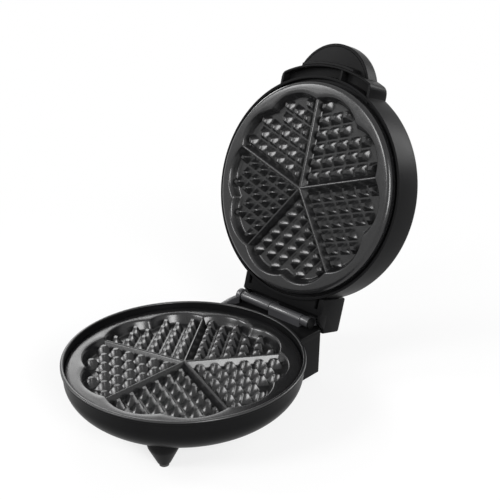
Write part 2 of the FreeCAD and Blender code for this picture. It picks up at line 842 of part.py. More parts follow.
def clamp(degrees, heater_height, back, way):
    """Saddle strap over the tube, its two tabs riveted to the plate's back."""
    inner = tube_r + clamp_ease
    outer = inner + clamp_thick
    half = clamp_width / 2
    z0, z1 = sorted((heater_height, back))
    loop = box(-outer, outer, -half, half, z0, z1).fuse(
        rod(outer, at(0, -half, heater_height), at(0, half, heater_height)))
    space = box(-inner, inner, -half - overrun, half + overrun, z0 - overrun, z1 + overrun)
    space = space.fuse(rod(inner, at(0, -half - overrun, heater_height),
                           at(0, half + overrun, heater_height)))
    tab0, tab1 = sorted((back, back - way * clamp_thick))
    tabs = box(-outer - clamp_tab, outer + clamp_tab, -half, half, tab0, tab1)
    strap = loop.fuse(tabs).cut(space)
    limit0, limit1 = sorted((back, heater_height - way * (outer + overrun)))
    strap = strap.common(box(-outer - clamp_tab, outer + clamp_tab, -half, half, limit0, limit1))
    holes = []
    for side in (-1, 1):
        x = side * (outer + clamp_tab / 2)
        holes.append(upright(rivet_r + thread_fit, x, 0, tab0 - overrun, tab1 + overrun))
    strap = strap.cut(holes).removeSplitter()
    strap.translate(at(heater_r, 0, 0))
    strap.rotate(at(), Z_AXIS, degrees)
    return strap


def clamps(heater_height, back, way):
    return Part.makeCompound([clamp(degrees, heater_height, back, way) for degrees in clamp_angles])


def rivets(back, way):
    bodies = []
    for point in rivet_points(back):
        seat = at(point.x, point.y, back - way * clamp_thick)
        tip = at(point.x, point.y, back + way * rivet_depth)
        bodies.append(head_screw(seat, tip, rivet_r, rivet_head_r, rivet_head))
    return Part.makeCompound(bodies)


def reflector(low_z, way):
    """Thin dished sheet behind the element, its short rim turned towards the plate."""
    high_z = low_z + reflector_thick
    sheet = upright(reflector_r, 0, 0, low_z, high_z)
    rim0, rim1 = (low_z, high_z + reflector_rim) if way > 0 else (low_z - reflector_rim, high_z)
    rim = upright(reflector_r, 0, 0, rim0, rim1).cut(
        upright(reflector_r - reflector_thick, 0, 0, rim0 - overrun, rim1 + overrun))
    holes = [upright(screw_r + through_fit, p.x, p.y, low_z - overrun, high_z + overrun)
             for p in mount_points()]
    holes.append(upright(reflector_hole_r, 0, 0, low_z - overrun, high_z + overrun))
    return joined([sheet, rim]).cut(holes)


# Thermostat, fuse and connections
def thermostat():
    low_z = under_z - thermostat_height
    can = upright(thermostat_r, 0, 0, low_z, under_z)
    reach = thermostat_r + thermostat_ear
    ears = box(-reach, reach, -thermostat_ear_half, thermostat_ear_half,
               under_z - thermostat_ear_thick, under_z)
    blades = [box(x - blade_thick / 2, x + blade_thick / 2, -blade_half, blade_half,
                  low_z - blade_length, low_z + sink) for x in (-blade_x, blade_x)]
    body = joined([can, ears] + blades)
    holes = [upright(small_screw_r + through_fit, p.x, p.y, under_z - thermostat_ear_thick - overrun,
                     under_z + overrun) for p in thermostat_screw_points(under_z)]
    return body.cut(holes)


def thermostat_screws():
    screws = []
    for seat in thermostat_screw_points(under_z - thermostat_ear_thick):
        tip = at(seat.x, seat.y, under_z + small_screw_depth / 2)
        screws.append(head_screw(seat, tip, small_screw_r, small_screw_head_r, small_screw_head))
    return Part.makeCompound(screws)


def earth_screw():
    seat = at(0, earth_y, under_z - earth_post - earth_lug_thick)
    tip = at(0, earth_y, under_z - thread_fit)
    return head_screw(seat, tip, small_screw_r, small_screw_head_r, small_screw_head)


def thermal_fuse():
    return rod(fuse_r, at(blade_x, fuse_y, wire_floor), at(blade_x, fuse_y + fuse_length, wire_floor))


def block_lead_y():
    return tower_inner_front_y + block_lead_back


def block_top():
    return cover_top_z + block_above_cover + block_height


def terminal_block():
    low_z = block_top() - block_height
    body = box(-block_half, block_half, tower_inner_front_y, tower_inner_front_y + block_depth,
               low_z, block_top())
    leg_x = terminal_place()[0]
    slots = []
    for x in (-leg_x, -blade_x, 0, blade_x, leg_x):
        slots.append(upright(wire_r / 2, x, tower_inner_front_y + block_depth - wire_r, low_z - overrun,
                             low_z + block_height / 2))
    return body.cut(slots)


def base_wiring():
    """Leads from the terminal block to the element, the thermostat, the earth screw and the hinge."""
    leg_x, tip_y = terminal_place()
    y = block_lead_y()
    top = block_top()
    blade_z = under_z - thermostat_height - blade_length - wire_end_gap
    leads = []
    for side in (-1, 1):
        x = side * leg_x
        leads.append(tube([at(x, y, top), at(x, y, heater_z), at(x, tip_y + wire_end_gap, heater_z)],
                          wire_r, wire_bend))
    rise = [at(-blade_x, wire_climb_y, wire_floor), at(-blade_x, wire_over_y, wire_over_z),
            at(-blade_x, y, wire_over_z), at(-blade_x, y, top)]
    leads.append(tube([at(-blade_x, 0, blade_z), at(-blade_x, 0, wire_floor)] + rise, wire_r, wire_bend))
    rise = [at(blade_x, p.y, p.z) for p in rise]
    leads.append(tube([at(blade_x, 0, blade_z), at(blade_x, 0, wire_floor),
                       at(blade_x, fuse_y - wire_end_gap, wire_floor)], wire_r, wire_bend))
    fuse_end = at(blade_x, fuse_y + fuse_length + wire_end_gap, wire_floor)
    leads.append(tube([fuse_end] + rise, wire_r, wire_bend))
    leads.append(earth_lead(y, top))
    x0 = hinge_lead_start_x
    x1 = hinge_lead_x
    start_y = y + 2 * wire_r
    corner_z = (top + tower_ceiling_z) / 2
    high_z = corner_z + wire_bend
    leads.append(tube([at(x0, start_y, top), at(x0, start_y, top + 2 * wire_bend),
                       at(x1, start_y + 2 * wire_bend, corner_z), at(x1, hinge_y, high_z),
                       at(base_channel_x, hinge_y, high_z), at(base_channel_x, hinge_y, hinge_z),
                       at(base_lead_end(), hinge_y, hinge_z)], wire_r, tight_bend))
    return Part.makeCompound(leads)


def earth_lead(y, top):
    """Ring lug under the earth screw, and its lead."""
    high_z = under_z - earth_post
    low_z = high_z - earth_lug_thick
    lug = upright(earth_post_r, 0, earth_y, low_z, high_z)
    tongue = box(-wire_r, wire_r, earth_y, earth_y + earth_lug_length, low_z, high_z)
    lug = joined([lug, tongue]).cut(upright(small_screw_r + through_fit, 0, earth_y, low_z - overrun,
                                            high_z + overrun))
    lead_z = high_z - wire_r
    lead = tube([at(0, earth_y + earth_post_r, lead_z), at(0, y, lead_z), at(0, y, top)], wire_r, wire_bend)
    return joined([lug, lead])


def base_lead_end():
    return base_channel_x - tight_bend - 4 * lead_fit


def lid_lead_end():
    return lid_channel_x + tight_bend + 2 * lead_fit


def hinge_lead():
    start = at(lid_lead_end() + 2 * end_gap, hinge_y, hinge_z)
    return rod(wire_r, start, at(base_lead_end() - end_gap, hinge_y, hinge_z))


def lead_sleeve():
    start = at(middle_x - turn_gap - sleeve_in_lid, hinge_y, hinge_z)
    end = at(middle_x + sleeve_in_base, hinge_y, hinge_z)
    run = X_AXIS * overrun
    return rod(sleeve_r, start, end).cut(rod(sleeve_bore_r, start - run, end + run))


# Cord gland and clamp
def cord_gland():
    start = at(0, tower_inner_back_y - gland_inner, gland_z)
    face = at(0, tower_back_y, gland_z)
    rim = face + Y_AXIS * gland_flange
    mouth = rim + Y_AXIS * gland_tail
    body = joined([rod(gland_neck_r, start, face), rod(gland_inner_r, start, start + Y_AXIS * gland_inner),
                   rod(gland_flange_r, face, rim), rod(gland_tail_r, face, mouth)])
    return body.cut(rod(gland_bore_r, start - Y_AXIS * overrun, mouth + Y_AXIS * overrun))


def cord_clamp():
    y = tower_front_y + clamp_behind
    high_z = gland_z - gland_bore_r
    bar = box(-clamp_bar_half, clamp_bar_half, y - clamp_bar_depth / 2, y + clamp_bar_depth / 2,
              high_z - clamp_bar_thick, high_z)
    return bar.cut([upright(small_screw_r + through_fit, side * clamp_post_x, y,
                            high_z - clamp_bar_thick - overrun, high_z + overrun) for side in (-1, 1)])


def cord_clamp_screws():
    screws = []
    seat_z = gland_z - gland_bore_r - clamp_bar_thick
    for side in (-1, 1):
        seat = at(side * clamp_post_x, tower_front_y + clamp_behind, seat_z)
        screws.append(head_screw(seat, seat + Z_AXIS * (clamp_bar_thick + gland_bore_r),
                                 small_screw_r, small_screw_head_r, small_screw_head))
    return Part.makeCompound(screws)


# Hinge pins
def left_hinge_pin():
    seat = at(-tower_half + pin_head_length, hinge_y, hinge_z)
    return head_screw(seat, at(left_knuckle_x + left_pin_reach - turn_gap, hinge_y, hinge_z),
                      pin_r, pin_head_r, pin_head_length)


def right_hinge_pin():
    return rod(pin_r, at(middle_x + chamber_depth_right + turn_gap, hinge_y, hinge_z),
               at(right_knuckle_end_x - cap_stem_length - end_gap, hinge_y, hinge_z))


def hinge_cap():
    start = at(right_knuckle_end_x, hinge_y, hinge_z)
    return joined([rod(cap_r, start, start + X_AXIS * cap_thick),
                   rod(cap_stem_r, start - X_AXIS * cap_stem_length, start + X_AXIS * cap_thick)])


# Lid, shut
def lid_outside():
    belly = (rim_r + (lid_r - rim_r) * bulge_share, (rim_z + lid_corner_z) / 2)
    flat_r = lid_r - lid_corner_reach
    edges = [arc((rim_r, rim_z), belly, (lid_r, lid_corner_z)),
             quarter((flat_r, lid_corner_z), lid_corner_reach, lid_corner_height, 0, pi / 2)]
    edges += chain([(flat_r, lid_edge_z), (0, lid_top_z), (0, rim_z), (rim_r, rim_z)])
    return turned(Part.__sortEdges__(edges))


def lid_inside():
    below = rim_z - overrun
    flat_r = lid_r - lid_corner_reach
    ledge_top = lid_ledge_z + lid_ledge_thick
    edges = [quarter((flat_r, lid_corner_z), lid_corner_reach - wall, lid_corner_height - wall, 0, pi / 2)]
    edges += chain([(lid_r - wall, lid_corner_z), (rim_inner_r, ledge_top), (ledge_r, ledge_top),
                    (ledge_r, lid_ledge_z), (rim_inner_r, lid_ledge_z), (rim_inner_r, below), (0, below),
                    (0, lid_top_z - wall), (flat_r, lid_edge_z - wall)])
    return turned(Part.__sortEdges__(edges))


def sector(r0, r1, half, z0, z1):
    """Front part of a ring about the plate axis, between two upright planes."""
    ring = upright(r1, 0, 0, z0, z1).cut(upright(r0, 0, 0, z0 - overrun, z1 + overrun))
    return ring.common(box(-half, half, -r1 - overrun, 0, z0, z1))


def shoulder_hollows():
    """Open channel round the front below the handle, and the space above its roof."""
    low_z = shoulder_low_z
    channel_top = rim_z + handle_up - shoulder_wall
    inner_half = shoulder_half - shoulder_wall
    channel = sector(lid_r + pin_run, shoulder_r - shoulder_wall, inner_half, low_z - overrun, channel_top)
    rib = box(shoulder_rib_x - shoulder_rib_half, shoulder_rib_x + shoulder_rib_half,
              -shoulder_r - overrun, 0, low_z - overrun, channel_top)
    upper = sector(lid_r - 2 * wall, shoulder_r - shoulder_wall, inner_half, channel_top + channel_roof,
                   shoulder_top() - wall)
    return [channel.cut(rib), upper]


def shoulder_top():
    return lid_top_z - shoulder_top_drop


def shoulder():
    """Part of a round drum in front of the lid, its ends and its top rounded."""
    drum = upright(shoulder_r, 0, 0, shoulder_low_z, shoulder_top())
    body = drum.common(box(-shoulder_half, shoulder_half, -shoulder_r - overrun, -lid_r / 2,
                           rim_z, lid_top_z))
    ends = [edge for edge in body.Edges if edge.BoundBox.ZLength > wall
            and edge.BoundBox.YMax < -lid_r / 2 - wall]
    body = body.makeFillet(shoulder_corner, ends)
    rings = [edge for edge in body.Edges if edge.BoundBox.ZMin > shoulder_top() - wall
             and edge.BoundBox.YMin < -lid_r / 2 - wall]
    return body.makeFillet(shoulder_round, rings)


def block_skirt():
    """Lower front of the block before the barrel, and its sides beside the ear and the end cap."""
    top_z = block_bottom_z + wall
    start = skirt_y - sink
    left = [(start, skirt_z), (skirt_y, skirt_z), (hinge_y + bracket_ear_behind, block_bottom_z),
            (hinge_y + bracket_ear_behind, top_z), (start, top_z)]
    right = [(start, skirt_z), (hinge_y - bracket_before_axis, skirt_z),
             (hinge_y + bracket_behind_axis, block_bottom_z), (hinge_y + bracket_behind_axis, top_z),
             (start, top_z)]
    return [box(-tower_half, tower_half, block_front_y, skirt_y, skirt_z, top_z),
            side_plate(-tower_half, bracket_thick - tower_half, left),
            side_plate(tower_half - bracket_thick, tower_half, right)]


def lid_block():
    body = box(-tower_half, tower_half, block_front_y, block_back_y, block_bottom_z, block_top_z)
    edges = [edge for edge in body.Edges if edge.BoundBox.ZMin > block_top_z - wall
             and edge.BoundBox.YMin > block_front_y + wall or edge.BoundBox.ZMin > block_top_z - wall
             and edge.BoundBox.YLength > wall]
    return body.makeFillet(lid_block_round, edges)


def lid_knuckles():
    bodies = []
    for x0, x1 in ((left_knuckle_x, left_knuckle_end_x), (right_knuckle_x, right_knuckle_end_x)):
        bodies.append(rod(barrel_r, at(x0, hinge_y, hinge_z), at(x1, hinge_y, hinge_z)))
        bodies.append(box(x0, x1, hinge_y - lid_web_half, hinge_y + lid_web_half, hinge_z,
                          block_bottom_z + sink))
    return bodies


def lid_knuckle_bores():
    axis = lambda x: at(x, hinge_y, hinge_z)
    run_r = pin_r + pin_run
    chamber_x = left_knuckle_end_x - chamber_depth_left
    return [rod(run_r, axis(left_knuckle_x - overrun), axis(chamber_x + overrun)),
            rod(sleeve_r + lead_fit, axis(chamber_x), axis(left_knuckle_end_x + overrun)),
            rod(run_r, axis(right_knuckle_x - overrun), axis(right_knuckle_end_x + overrun)),
            upright(wire_r + lead_fit, lid_channel_x, hinge_y, hinge_z, block_bottom_z + wall + overrun)]


def lid_housing():
    shell = joined([lid_outside(), lid_block(), shoulder()] + block_skirt() + lid_knuckles())
    block_space = box(-tower_inner_half, tower_inner_half, block_front_y + wall, block_back_y - wall,
                      block_bottom_z + wall, block_ceiling_z)
    skirt_space = box(-tower_inner_half, tower_inner_half, block_front_y + wall, skirt_y - wall,
                      skirt_z + wall, block_bottom_z + wall + overrun)
    shell = shell.cut([lid_inside(), block_space, skirt_space] + shoulder_hollows())
    seat_z = upper_reflector_z + reflector_thick
    backing_z = lid_top_z - disc_recess - disc_backing
    bosses = [upright(lid_boss_r, p.x, p.y, seat_z, backing_z + sink) for p in mount_points()]
    backing = upright(disc_r + disc_margin, 0, 0, backing_z, lid_edge_z - sink)
    shell = joined([shell, backing] + bosses)
    tools = lid_knuckle_bores()
    recess_z = lid_top_z - disc_recess
    tools.append(upright(disc_r + cover_fit, 0, 0, recess_z, lid_top_z + overrun))
    for point in mount_points():
        tools.append(upright(screw_r + through_fit, point.x, point.y, seat_z - overrun, recess_z + overrun))
        tools.append(upright(well_r, point.x, point.y, seat_z + lid_seat_above, recess_z + overrun))
    for side in (-1, 1):
        lamp_y = hinge_y - lamp_before_axis
        tools.append(upright(lamp_stem_r + cover_fit, side * lamp_x, lamp_y, block_ceiling_z - overrun,
                             block_top_z + overrun))
        x = side * handle_screw_x
        z = rim_z + handle_up + handle_screw_up
        tools.append(rod(handle_screw_r + through_fit, at(x, wall - lid_r, z),
                         at(x, -shoulder_r - overrun, z)))
    return shell.cut(tools)


def lid_disc():
    low_z = lid_top_z - disc_recess
    return upright(disc_r, 0, 0, low_z, low_z + disc_thick)


def handle_outline(inset, z0, z1, top_round=0):
    """Half disc standing out in front of the shoulder."""
    body = upright(handle_r - inset, 0, handle_centre_y, z0, z1)
    if top_round > 0:
        body = body.makeFillet(top_round, rings_at(body, z1))
    return body.cut(upright(shoulder_r + handle_seat + inset, 0, 0, z0 - overrun, z1 + overrun))


def handle_bosses(radius, start_gap, length):
    z = rim_z + handle_up + handle_screw_up
    face_y = -sqrt((shoulder_r + handle_seat) ** 2 - handle_screw_x ** 2)
    return [rod(radius, at(side * handle_screw_x, face_y - start_gap, z),
                at(side * handle_screw_x, face_y - length, z)) for side in (-1, 1)]


def handle_shell():
    low_z = rim_z + handle_up
    body = handle_outline(0, low_z, low_z + handle_height, handle_round)
    body = body.cut(handle_outline(wall, low_z - overrun, low_z + handle_height - wall, handle_round - wall))
    post = upright(handle_post_r, 0, handle_post_y, low_z + wall, low_z + handle_height - wall + sink)
    collar = sector(shoulder_r + handle_seat, shoulder_r + collar_stand, collar_half, shoulder_low_z,
                    low_z + wall)
    body = joined([body, post, collar] + handle_bosses(handle_boss_r, wall - sink, handle_boss_length))
    return body.cut(handle_bosses(handle_screw_r + thread_fit, -overrun, handle_screw_depth + overrun))


def handle_cover():
    low_z = rim_z + handle_up
    return handle_outline(wall + cover_fit, low_z, low_z + wall)


def handle_screws():
    """Screws from inside the shoulder into the handle's bosses."""
    screws = []
    z = rim_z + handle_up + handle_screw_up
    seat_y = -sqrt((shoulder_r - shoulder_wall) ** 2 - (handle_screw_x + handle_screw_head_r) ** 2)
    tip_y = -sqrt(shoulder_r ** 2 - handle_screw_x ** 2) - handle_screw_depth
    for side in (-1, 1):
        x = side * handle_screw_x
        screws.append(head_screw(at(x, seat_y, z), at(x, tip_y, z), handle_screw_r, handle_screw_head_r,
                                 handle_screw_head))
    return Part.makeCompound(screws)


# Lamps and wiring of the lid
def lamp_lenses():
    y = hinge_y - lamp_before_axis
    lenses = []
    for x in (-lamp_x, lamp_x):
        lenses.append(joined([upright(lamp_r, x, y, block_top_z, block_top_z + lamp_rise),
                              upright(lamp_stem_r, x, y, block_top_z - lamp_stem, block_top_z + lamp_rise)]))
    return Part.makeCompound(lenses)


def lamp_bodies():
    y = hinge_y - lamp_before_axis
    top_z = block_top_z - lamp_stem
    low_z = top_z - lamp_body
    return Part.makeCompound([upright(lamp_body_r, x, y, low_z, top_z) for x in (-lamp_x, lamp_x)])


def lid_connector():
    back_y = hinge_y - splice_before_axis
    low_z = block_bottom_z + wall
    return box(lid_channel_x - splice_half, lid_channel_x + splice_half, back_y - splice_depth, back_y,
               low_z, low_z + splice_height)


def lid_wiring():
    """Leads from the hinge through the connector to the element and the two lamps."""
    leg_x, tip_y = terminal_place()
    back_y = hinge_y - splice_before_axis
    front_y = back_y - splice_depth
    mid_z = block_bottom_z + wall + splice_height / 2
    high_z = mid_z + wire_r * 2
    x = lid_channel_x
    right_x = x + splice_half - 2 * wire_r
    left_x = x - splice_half + 2 * wire_r
    lamp_y = hinge_y - lamp_before_axis
    lamp_z = block_top_z - lamp_stem - lamp_body
    turn_y = tip_y + 2 * wire_bend
    leads = [tube([at(lid_lead_end(), hinge_y, hinge_z), at(x, hinge_y, hinge_z), at(x, hinge_y, mid_z),
                   at(x, back_y, mid_z)], wire_r, tight_bend)]
    leads.append(tube([at(left_x, front_y, mid_z), at(left_x, front_y - 2 * wire_bend, mid_z),
                       at(-leg_x, turn_y, upper_heater_z), at(-leg_x, tip_y + wire_end_gap, upper_heater_z)],
                      wire_r, tight_bend))
    leads.append(tube([at(right_x, front_y, mid_z), at(right_x, front_y - 2 * wire_bend, mid_z),
                       at(leg_x, turn_y + wire_bend, high_z), at(leg_x, turn_y, upper_heater_z),
                       at(leg_x, tip_y + wire_end_gap, upper_heater_z)], wire_r, tight_bend))
    top_z = block_bottom_z + wall + splice_height
    leads.append(rod(wire_r, at(-lamp_x, lamp_y, top_z), at(-lamp_x, lamp_y, lamp_z)))
    leads.append(tube([at(x + splice_half, lamp_y, mid_z), at(lamp_x, lamp_y, mid_z),
                       at(lamp_x, lamp_y, lamp_z)], wire_r, wire_bend))
    return Part.makeCompound(leads)


# Assembly
base_pieces = {
    "base_housing": base_housing(),
    "tower_cover": tower_cover(),
    "tower_cover_screws": tower_cover_screws(),
    "front_pads": front_pads(),
    "rear_pads": rear_pads(),
    "lower_plate": lower_plate(),
    "lower_plate_screws": plate_screws_low(),
    "lower_heater": heater(heater_z),
    "lower_heater_clamps": clamps(heater_z, under_z, 1),
    "lower_clamp_rivets": rivets(under_z, 1),
    "lower_reflector": reflector(reflector_low_z, 1),
    "thermostat": thermostat(),
    "thermostat_screws": thermostat_screws(),
    "thermal_fuse": thermal_fuse(),
    "earth_screw": earth_screw(),
    "terminal_block": terminal_block(),
    "base_wiring": base_wiring(),
    "cord_gland": cord_gland(),
    "cord_clamp": cord_clamp(),
    "cord_clamp_screws": cord_clamp_screws(),
    "left_hinge_pin": left_hinge_pin(),
    "right_hinge_pin": right_hinge_pin(),
    "lead_sleeve": lead_sleeve(),
    "hinge_lead": hinge_lead(),
}

lid_pieces = {
    "lid_housing": lid_housing(),
    "lid_disc": lid_disc(),
    "upper_plate": upper_plate(),
    "upper_plate_screws": plate_screws_high(),
    "upper_heater": heater(upper_heater_z),
    "upper_heater_clamps": clamps(upper_heater_z, upper_back_z, -1),
    "upper_clamp_rivets": rivets(upper_back_z, -1),
    "upper_reflector": reflector(upper_reflector_z, -1),
    "handle_shell": handle_shell(),
    "handle_cover": handle_cover(),
    "handle_screws": handle_screws(),
    "hinge_cap": hinge_cap(),
    "lamp_lenses": lamp_lenses(),
    "lamp_bodies": lamp_bodies(),
    "lid_connector": lid_connector(),
    "lid_wiring": lid_wiring(),
}

for piece in lid_pieces.values():
    piece.rotate(at(0, hinge_y, hinge_z), X_AXIS, -open_angle)

pieces = {**base_pieces, **lid_pieces}
whole = Part.makeCompound(list(pieces.values())).optimalBoundingBox(False)
centring = at(-(whole.XMin + whole.XMax) / 2, -(whole.YMin + whole.YMax) / 2, -whole.ZMin)

os.makedirs("parts", exist_ok=True)
for name, piece in pieces.items():
    piece.translate(centring)
    piece.exportStep("parts/" + name + ".step")

hinge_line = at(0, hinge_y, hinge_z) + centring
gland_face = at(0, tower_back_y + gland_flange + gland_tail, gland_z) + centring
rear_pad_place = at(rear_pad_x, hinge_y - rear_pad_before_axis, 0) + centring
print("centring", centring)
print("hinge axis through", hinge_line)
print("gland mouth", gland_face)
print("rear pad", rear_pad_place)
print("size", whole.XLength, whole.YLength, whole.ZLength)
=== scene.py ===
import json
from math import cos, pi, radians, sin, sqrt

import bmesh
import bpy
from mathutils import Matrix, Vector


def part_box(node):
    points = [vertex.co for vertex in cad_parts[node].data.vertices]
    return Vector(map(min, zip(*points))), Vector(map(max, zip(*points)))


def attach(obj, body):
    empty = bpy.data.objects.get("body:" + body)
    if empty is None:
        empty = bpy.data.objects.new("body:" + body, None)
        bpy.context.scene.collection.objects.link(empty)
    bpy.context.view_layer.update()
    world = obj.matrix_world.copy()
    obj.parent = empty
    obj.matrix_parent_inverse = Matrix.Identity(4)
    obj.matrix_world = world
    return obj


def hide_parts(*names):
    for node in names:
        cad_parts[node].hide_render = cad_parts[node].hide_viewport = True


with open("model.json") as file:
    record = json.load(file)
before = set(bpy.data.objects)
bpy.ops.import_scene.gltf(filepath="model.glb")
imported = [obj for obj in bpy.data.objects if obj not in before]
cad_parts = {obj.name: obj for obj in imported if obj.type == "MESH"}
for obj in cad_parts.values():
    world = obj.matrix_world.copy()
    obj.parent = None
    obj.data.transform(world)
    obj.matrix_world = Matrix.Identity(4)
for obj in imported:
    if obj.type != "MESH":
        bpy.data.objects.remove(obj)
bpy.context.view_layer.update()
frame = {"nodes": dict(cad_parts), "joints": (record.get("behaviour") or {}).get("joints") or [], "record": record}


# Camera: on the right of the front, a little above the lip, far enough off for a long
# lens and held a little askew. Its place was worked out from the two round plates, the
# hinge line and the outline.
mm = 0.001
plate_low, plate_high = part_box("lower_plate")
plate_axis = Vector((0, (plate_low.y + plate_high.y) / 2, 0))
camera_azimuth = radians(43.258)
camera_elevation = radians(21.316)
camera_roll = radians(0.849)
camera_distance = 677.1 * mm
camera_aim = plate_axis + Vector((-0.46 * mm, 80.29 * mm, 127.61 * mm))
sensor_width = 36
focal_in_pixels = 757.1
photo_pixels = 500
nearest_seen = 0.05
farthest_seen = 20


def direction(azimuth, elevation):
    """Way out from the object; azimuth counts from the front to the right."""
    return Vector((sin(azimuth) * cos(elevation), -cos(azimuth) * cos(elevation), sin(elevation)))


def placed(name, data):
    """Object at the origin, in the scene."""
    thing = bpy.data.objects.new(name, data)
    bpy.context.scene.collection.objects.link(thing)
    return thing


camera_data = bpy.data.cameras.new("camera")
camera_data.sensor_width = sensor_width
camera_data.lens = sensor_width * focal_in_pixels / photo_pixels
camera_data.clip_start = nearest_seen
camera_data.clip_end = farthest_seen
camera = placed("camera", camera_data)
towards_camera = direction(camera_azimuth, camera_elevation)
camera.location = camera_aim + towards_camera * camera_distance
camera.rotation_mode = "QUATERNION"
camera.rotation_quaternion = ((-towards_camera).to_track_quat("-Z", "Y")
                              @ Matrix.Rotation(camera_roll, 4, "Z").to_quaternion())
bpy.context.scene.camera = camera
bpy.context.scene.view_settings.view_transform = "Standard"


# Table and light: a white table in a white room, which only the rays of the camera, of
# gloss and of glass see as white, and which keeps the object's shadow close by. Five
# lamps with cloth fronts light the object; the last one stands behind its lid.
table_half = 12.0
table_white = (0.86, 0.86, 0.86, 1)
table_roughness = 0.9
table_specular = 0.1
glow_near_object = 0.75
shadow_reach = 0.2
white_reach = 0.7
pure_white = (1, 1, 1, 1)
room_light = 0.25
lamp_centre = Vector((0, 0.05, 0.12))
lamp_distance = 1.3


def feed(node, inputs):
    """Plain values, or results of other nodes, into a node by name or number of the socket."""
    for name, value in inputs.items():
        if isinstance(value, bpy.types.NodeSocket):
            node.id_data.links.new(value, node.inputs[name])
        else:
            node.inputs[name].default_value = value


def add_node(tree, kind, inputs=None, **settings):
    """Node with its settings and its inputs."""
    node = tree.nodes.new(kind)
    for name, value in settings.items():
        setattr(node, name, value)
    feed(node, inputs or {})
    return node


def new_material(name, inputs):
    """Material with its surface shader."""
    material = bpy.data.materials.new(name)
    material.use_nodes = True
    surface = material.node_tree.nodes["Principled BSDF"]
    feed(surface, inputs)
    return material, surface


def rays_that_see(tree):
    """One for the rays of the camera, of gloss and of glass, else nothing."""
    path = add_node(tree, "ShaderNodeLightPath").outputs
    total = path["Is Camera Ray"]
    for kind in ("Is Glossy Ray", "Is Transmission Ray"):
        both = add_node(tree, "ShaderNodeMath", {0: total, 1: path[kind]}, operation="MAXIMUM")
        total = both.outputs["Value"]
    return total


def glow_away_from_object(tree):
    """Share of plain white in the table: all of it far off, less beside the object."""
    place = add_node(tree, "ShaderNodeTexCoord").outputs["Object"]
    reach = add_node(tree, "ShaderNodeVectorMath", {0: place}, operation="LENGTH")
    away = add_node(tree, "ShaderNodeMapRange",
                    {"Value": reach.outputs["Value"], "From Min": shadow_reach,
                     "From Max": white_reach, "To Min": glow_near_object})
    return away.outputs["Result"]


def show_mix(output, share, first, second):
    """Sends a mix of two shaders to the output node."""
    mix = add_node(output.id_data, "ShaderNodeMixShader", {"Fac": share, 1: first, 2: second})
    feed(output, {"Surface": mix.outputs["Shader"]})


def soft_box(name, azimuth, elevation, width, height, brightness):
    """Lamp with a cloth front, turned to the object; angles in degrees."""
    away = direction(radians(azimuth), radians(elevation))
    data = bpy.data.lights.new(name, "AREA")
    data.shape = "RECTANGLE"
    data.size = width
    data.size_y = height
    data.energy = brightness * pi * width * height
    lamp = placed(name, data)
    lamp.location = lamp_centre + away * lamp_distance
    lamp.rotation_mode = "QUATERNION"
    lamp.rotation_quaternion = away.to_track_quat("Z", "Y")
    lamp.visible_camera = False


table_corners = [(-table_half, -table_half, 0), (table_half, -table_half, 0),
                 (table_half, table_half, 0), (-table_half, table_half, 0)]
table_mesh = bpy.data.meshes.new("table")
table_mesh.from_pydata(table_corners, [], [(0, 1, 2, 3)])
table = placed("table", table_mesh)
table_material, surface = new_material("table_white", {
    "Base Color": table_white, "Roughness": table_roughness, "Specular IOR Level": table_specular})
tree = table_material.node_tree
share = add_node(tree, "ShaderNodeMath",
                 {0: rays_that_see(tree), 1: glow_away_from_object(tree)}, operation="MULTIPLY")
plain_white = add_node(tree, "ShaderNodeEmission")
show_mix(tree.nodes["Material Output"], share.outputs["Value"], surface.outputs["BSDF"],
         plain_white.outputs["Emission"])
table_mesh.materials.append(table_material)

world = bpy.data.worlds.new("studio")
bpy.context.scene.world = world
world.use_nodes = True
tree = world.node_tree
backdrop = tree.nodes["Background"]
feed(backdrop, {"Color": pure_white, "Strength": 1.0})
room = add_node(tree, "ShaderNodeBackground", {"Color": pure_white, "Strength": room_light})
show_mix(tree.nodes["World Output"], rays_that_see(tree), room.outputs["Background"],
         backdrop.outputs["Background"])

soft_box("right_soft_box", azimuth=64, elevation=20, width=0.42, height=0.70, brightness=17)
soft_box("front_soft_box", azimuth=345, elevation=30, width=0.38, height=0.38, brightness=17)
soft_box("left_soft_box", azimuth=310, elevation=29, width=0.38, height=0.38, brightness=14)
soft_box("rear_soft_box", azimuth=243, elevation=20, width=0.50, height=0.42, brightness=4.5)
soft_box("back_soft_box", azimuth=155, elevation=24, width=0.55, height=0.55, brightness=9)


# Base bowl: one injection moulding in satin black plastic, with a raised lip over a
# narrow shadow groove and a curved belly; the lip's top is glossier and painted a lighter
# black as a painted highlight. The lower plate rests on a ledge inside the lip. The bowl
# is turned here about the axis of the plates.
flange_top = plate_high.z
lip_top = flange_top + 6.0 * mm
lip_outer = 104.2 * mm
lip_inner = 101.5 * mm
lip_band = 3.0 * mm
lip_edge = 1.1 * mm
lip_lower_edge = 0.6 * mm
lip_highlight_band = 0.9 * mm
groove_r = lip_outer - 1.3 * mm
groove_edge = 0.5 * mm
belly_wall = 102.5 * mm
belly_flat = 54.6 * mm
belly_top = lip_top - 12.1 * mm
belly_low = 13.1 * mm
belly_reach = belly_wall - belly_flat
ledge_inner = 95.0 * mm
ledge_z = flange_top - 3.0 * mm
ledge_edge = 0.4 * mm
bowl_wall = 2.5 * mm
turned_segments = 180
crease_angle = radians(38)
on_axis = 1e-6
doubles_within = 1e-7
plastic_black = (0.0040, 0.0040, 0.0042, 1)
# A lighter black for the top of the lip: a painted highlight.
lip_highlight_black = (0.006, 0.006, 0.0063, 1)
plastic_roughness = 0.34
plastic_specular = 0.035
lip_roughness = 0.28
grain_scale = 1 / (0.35 * mm)
grain_detail = 3
grain_depth = 0.03 * mm
grain_strength = 0.12
handling_scale = 45
handling_detail = 4
handling_gloss = (-0.05, 0.07)
handling_tint = 1.5


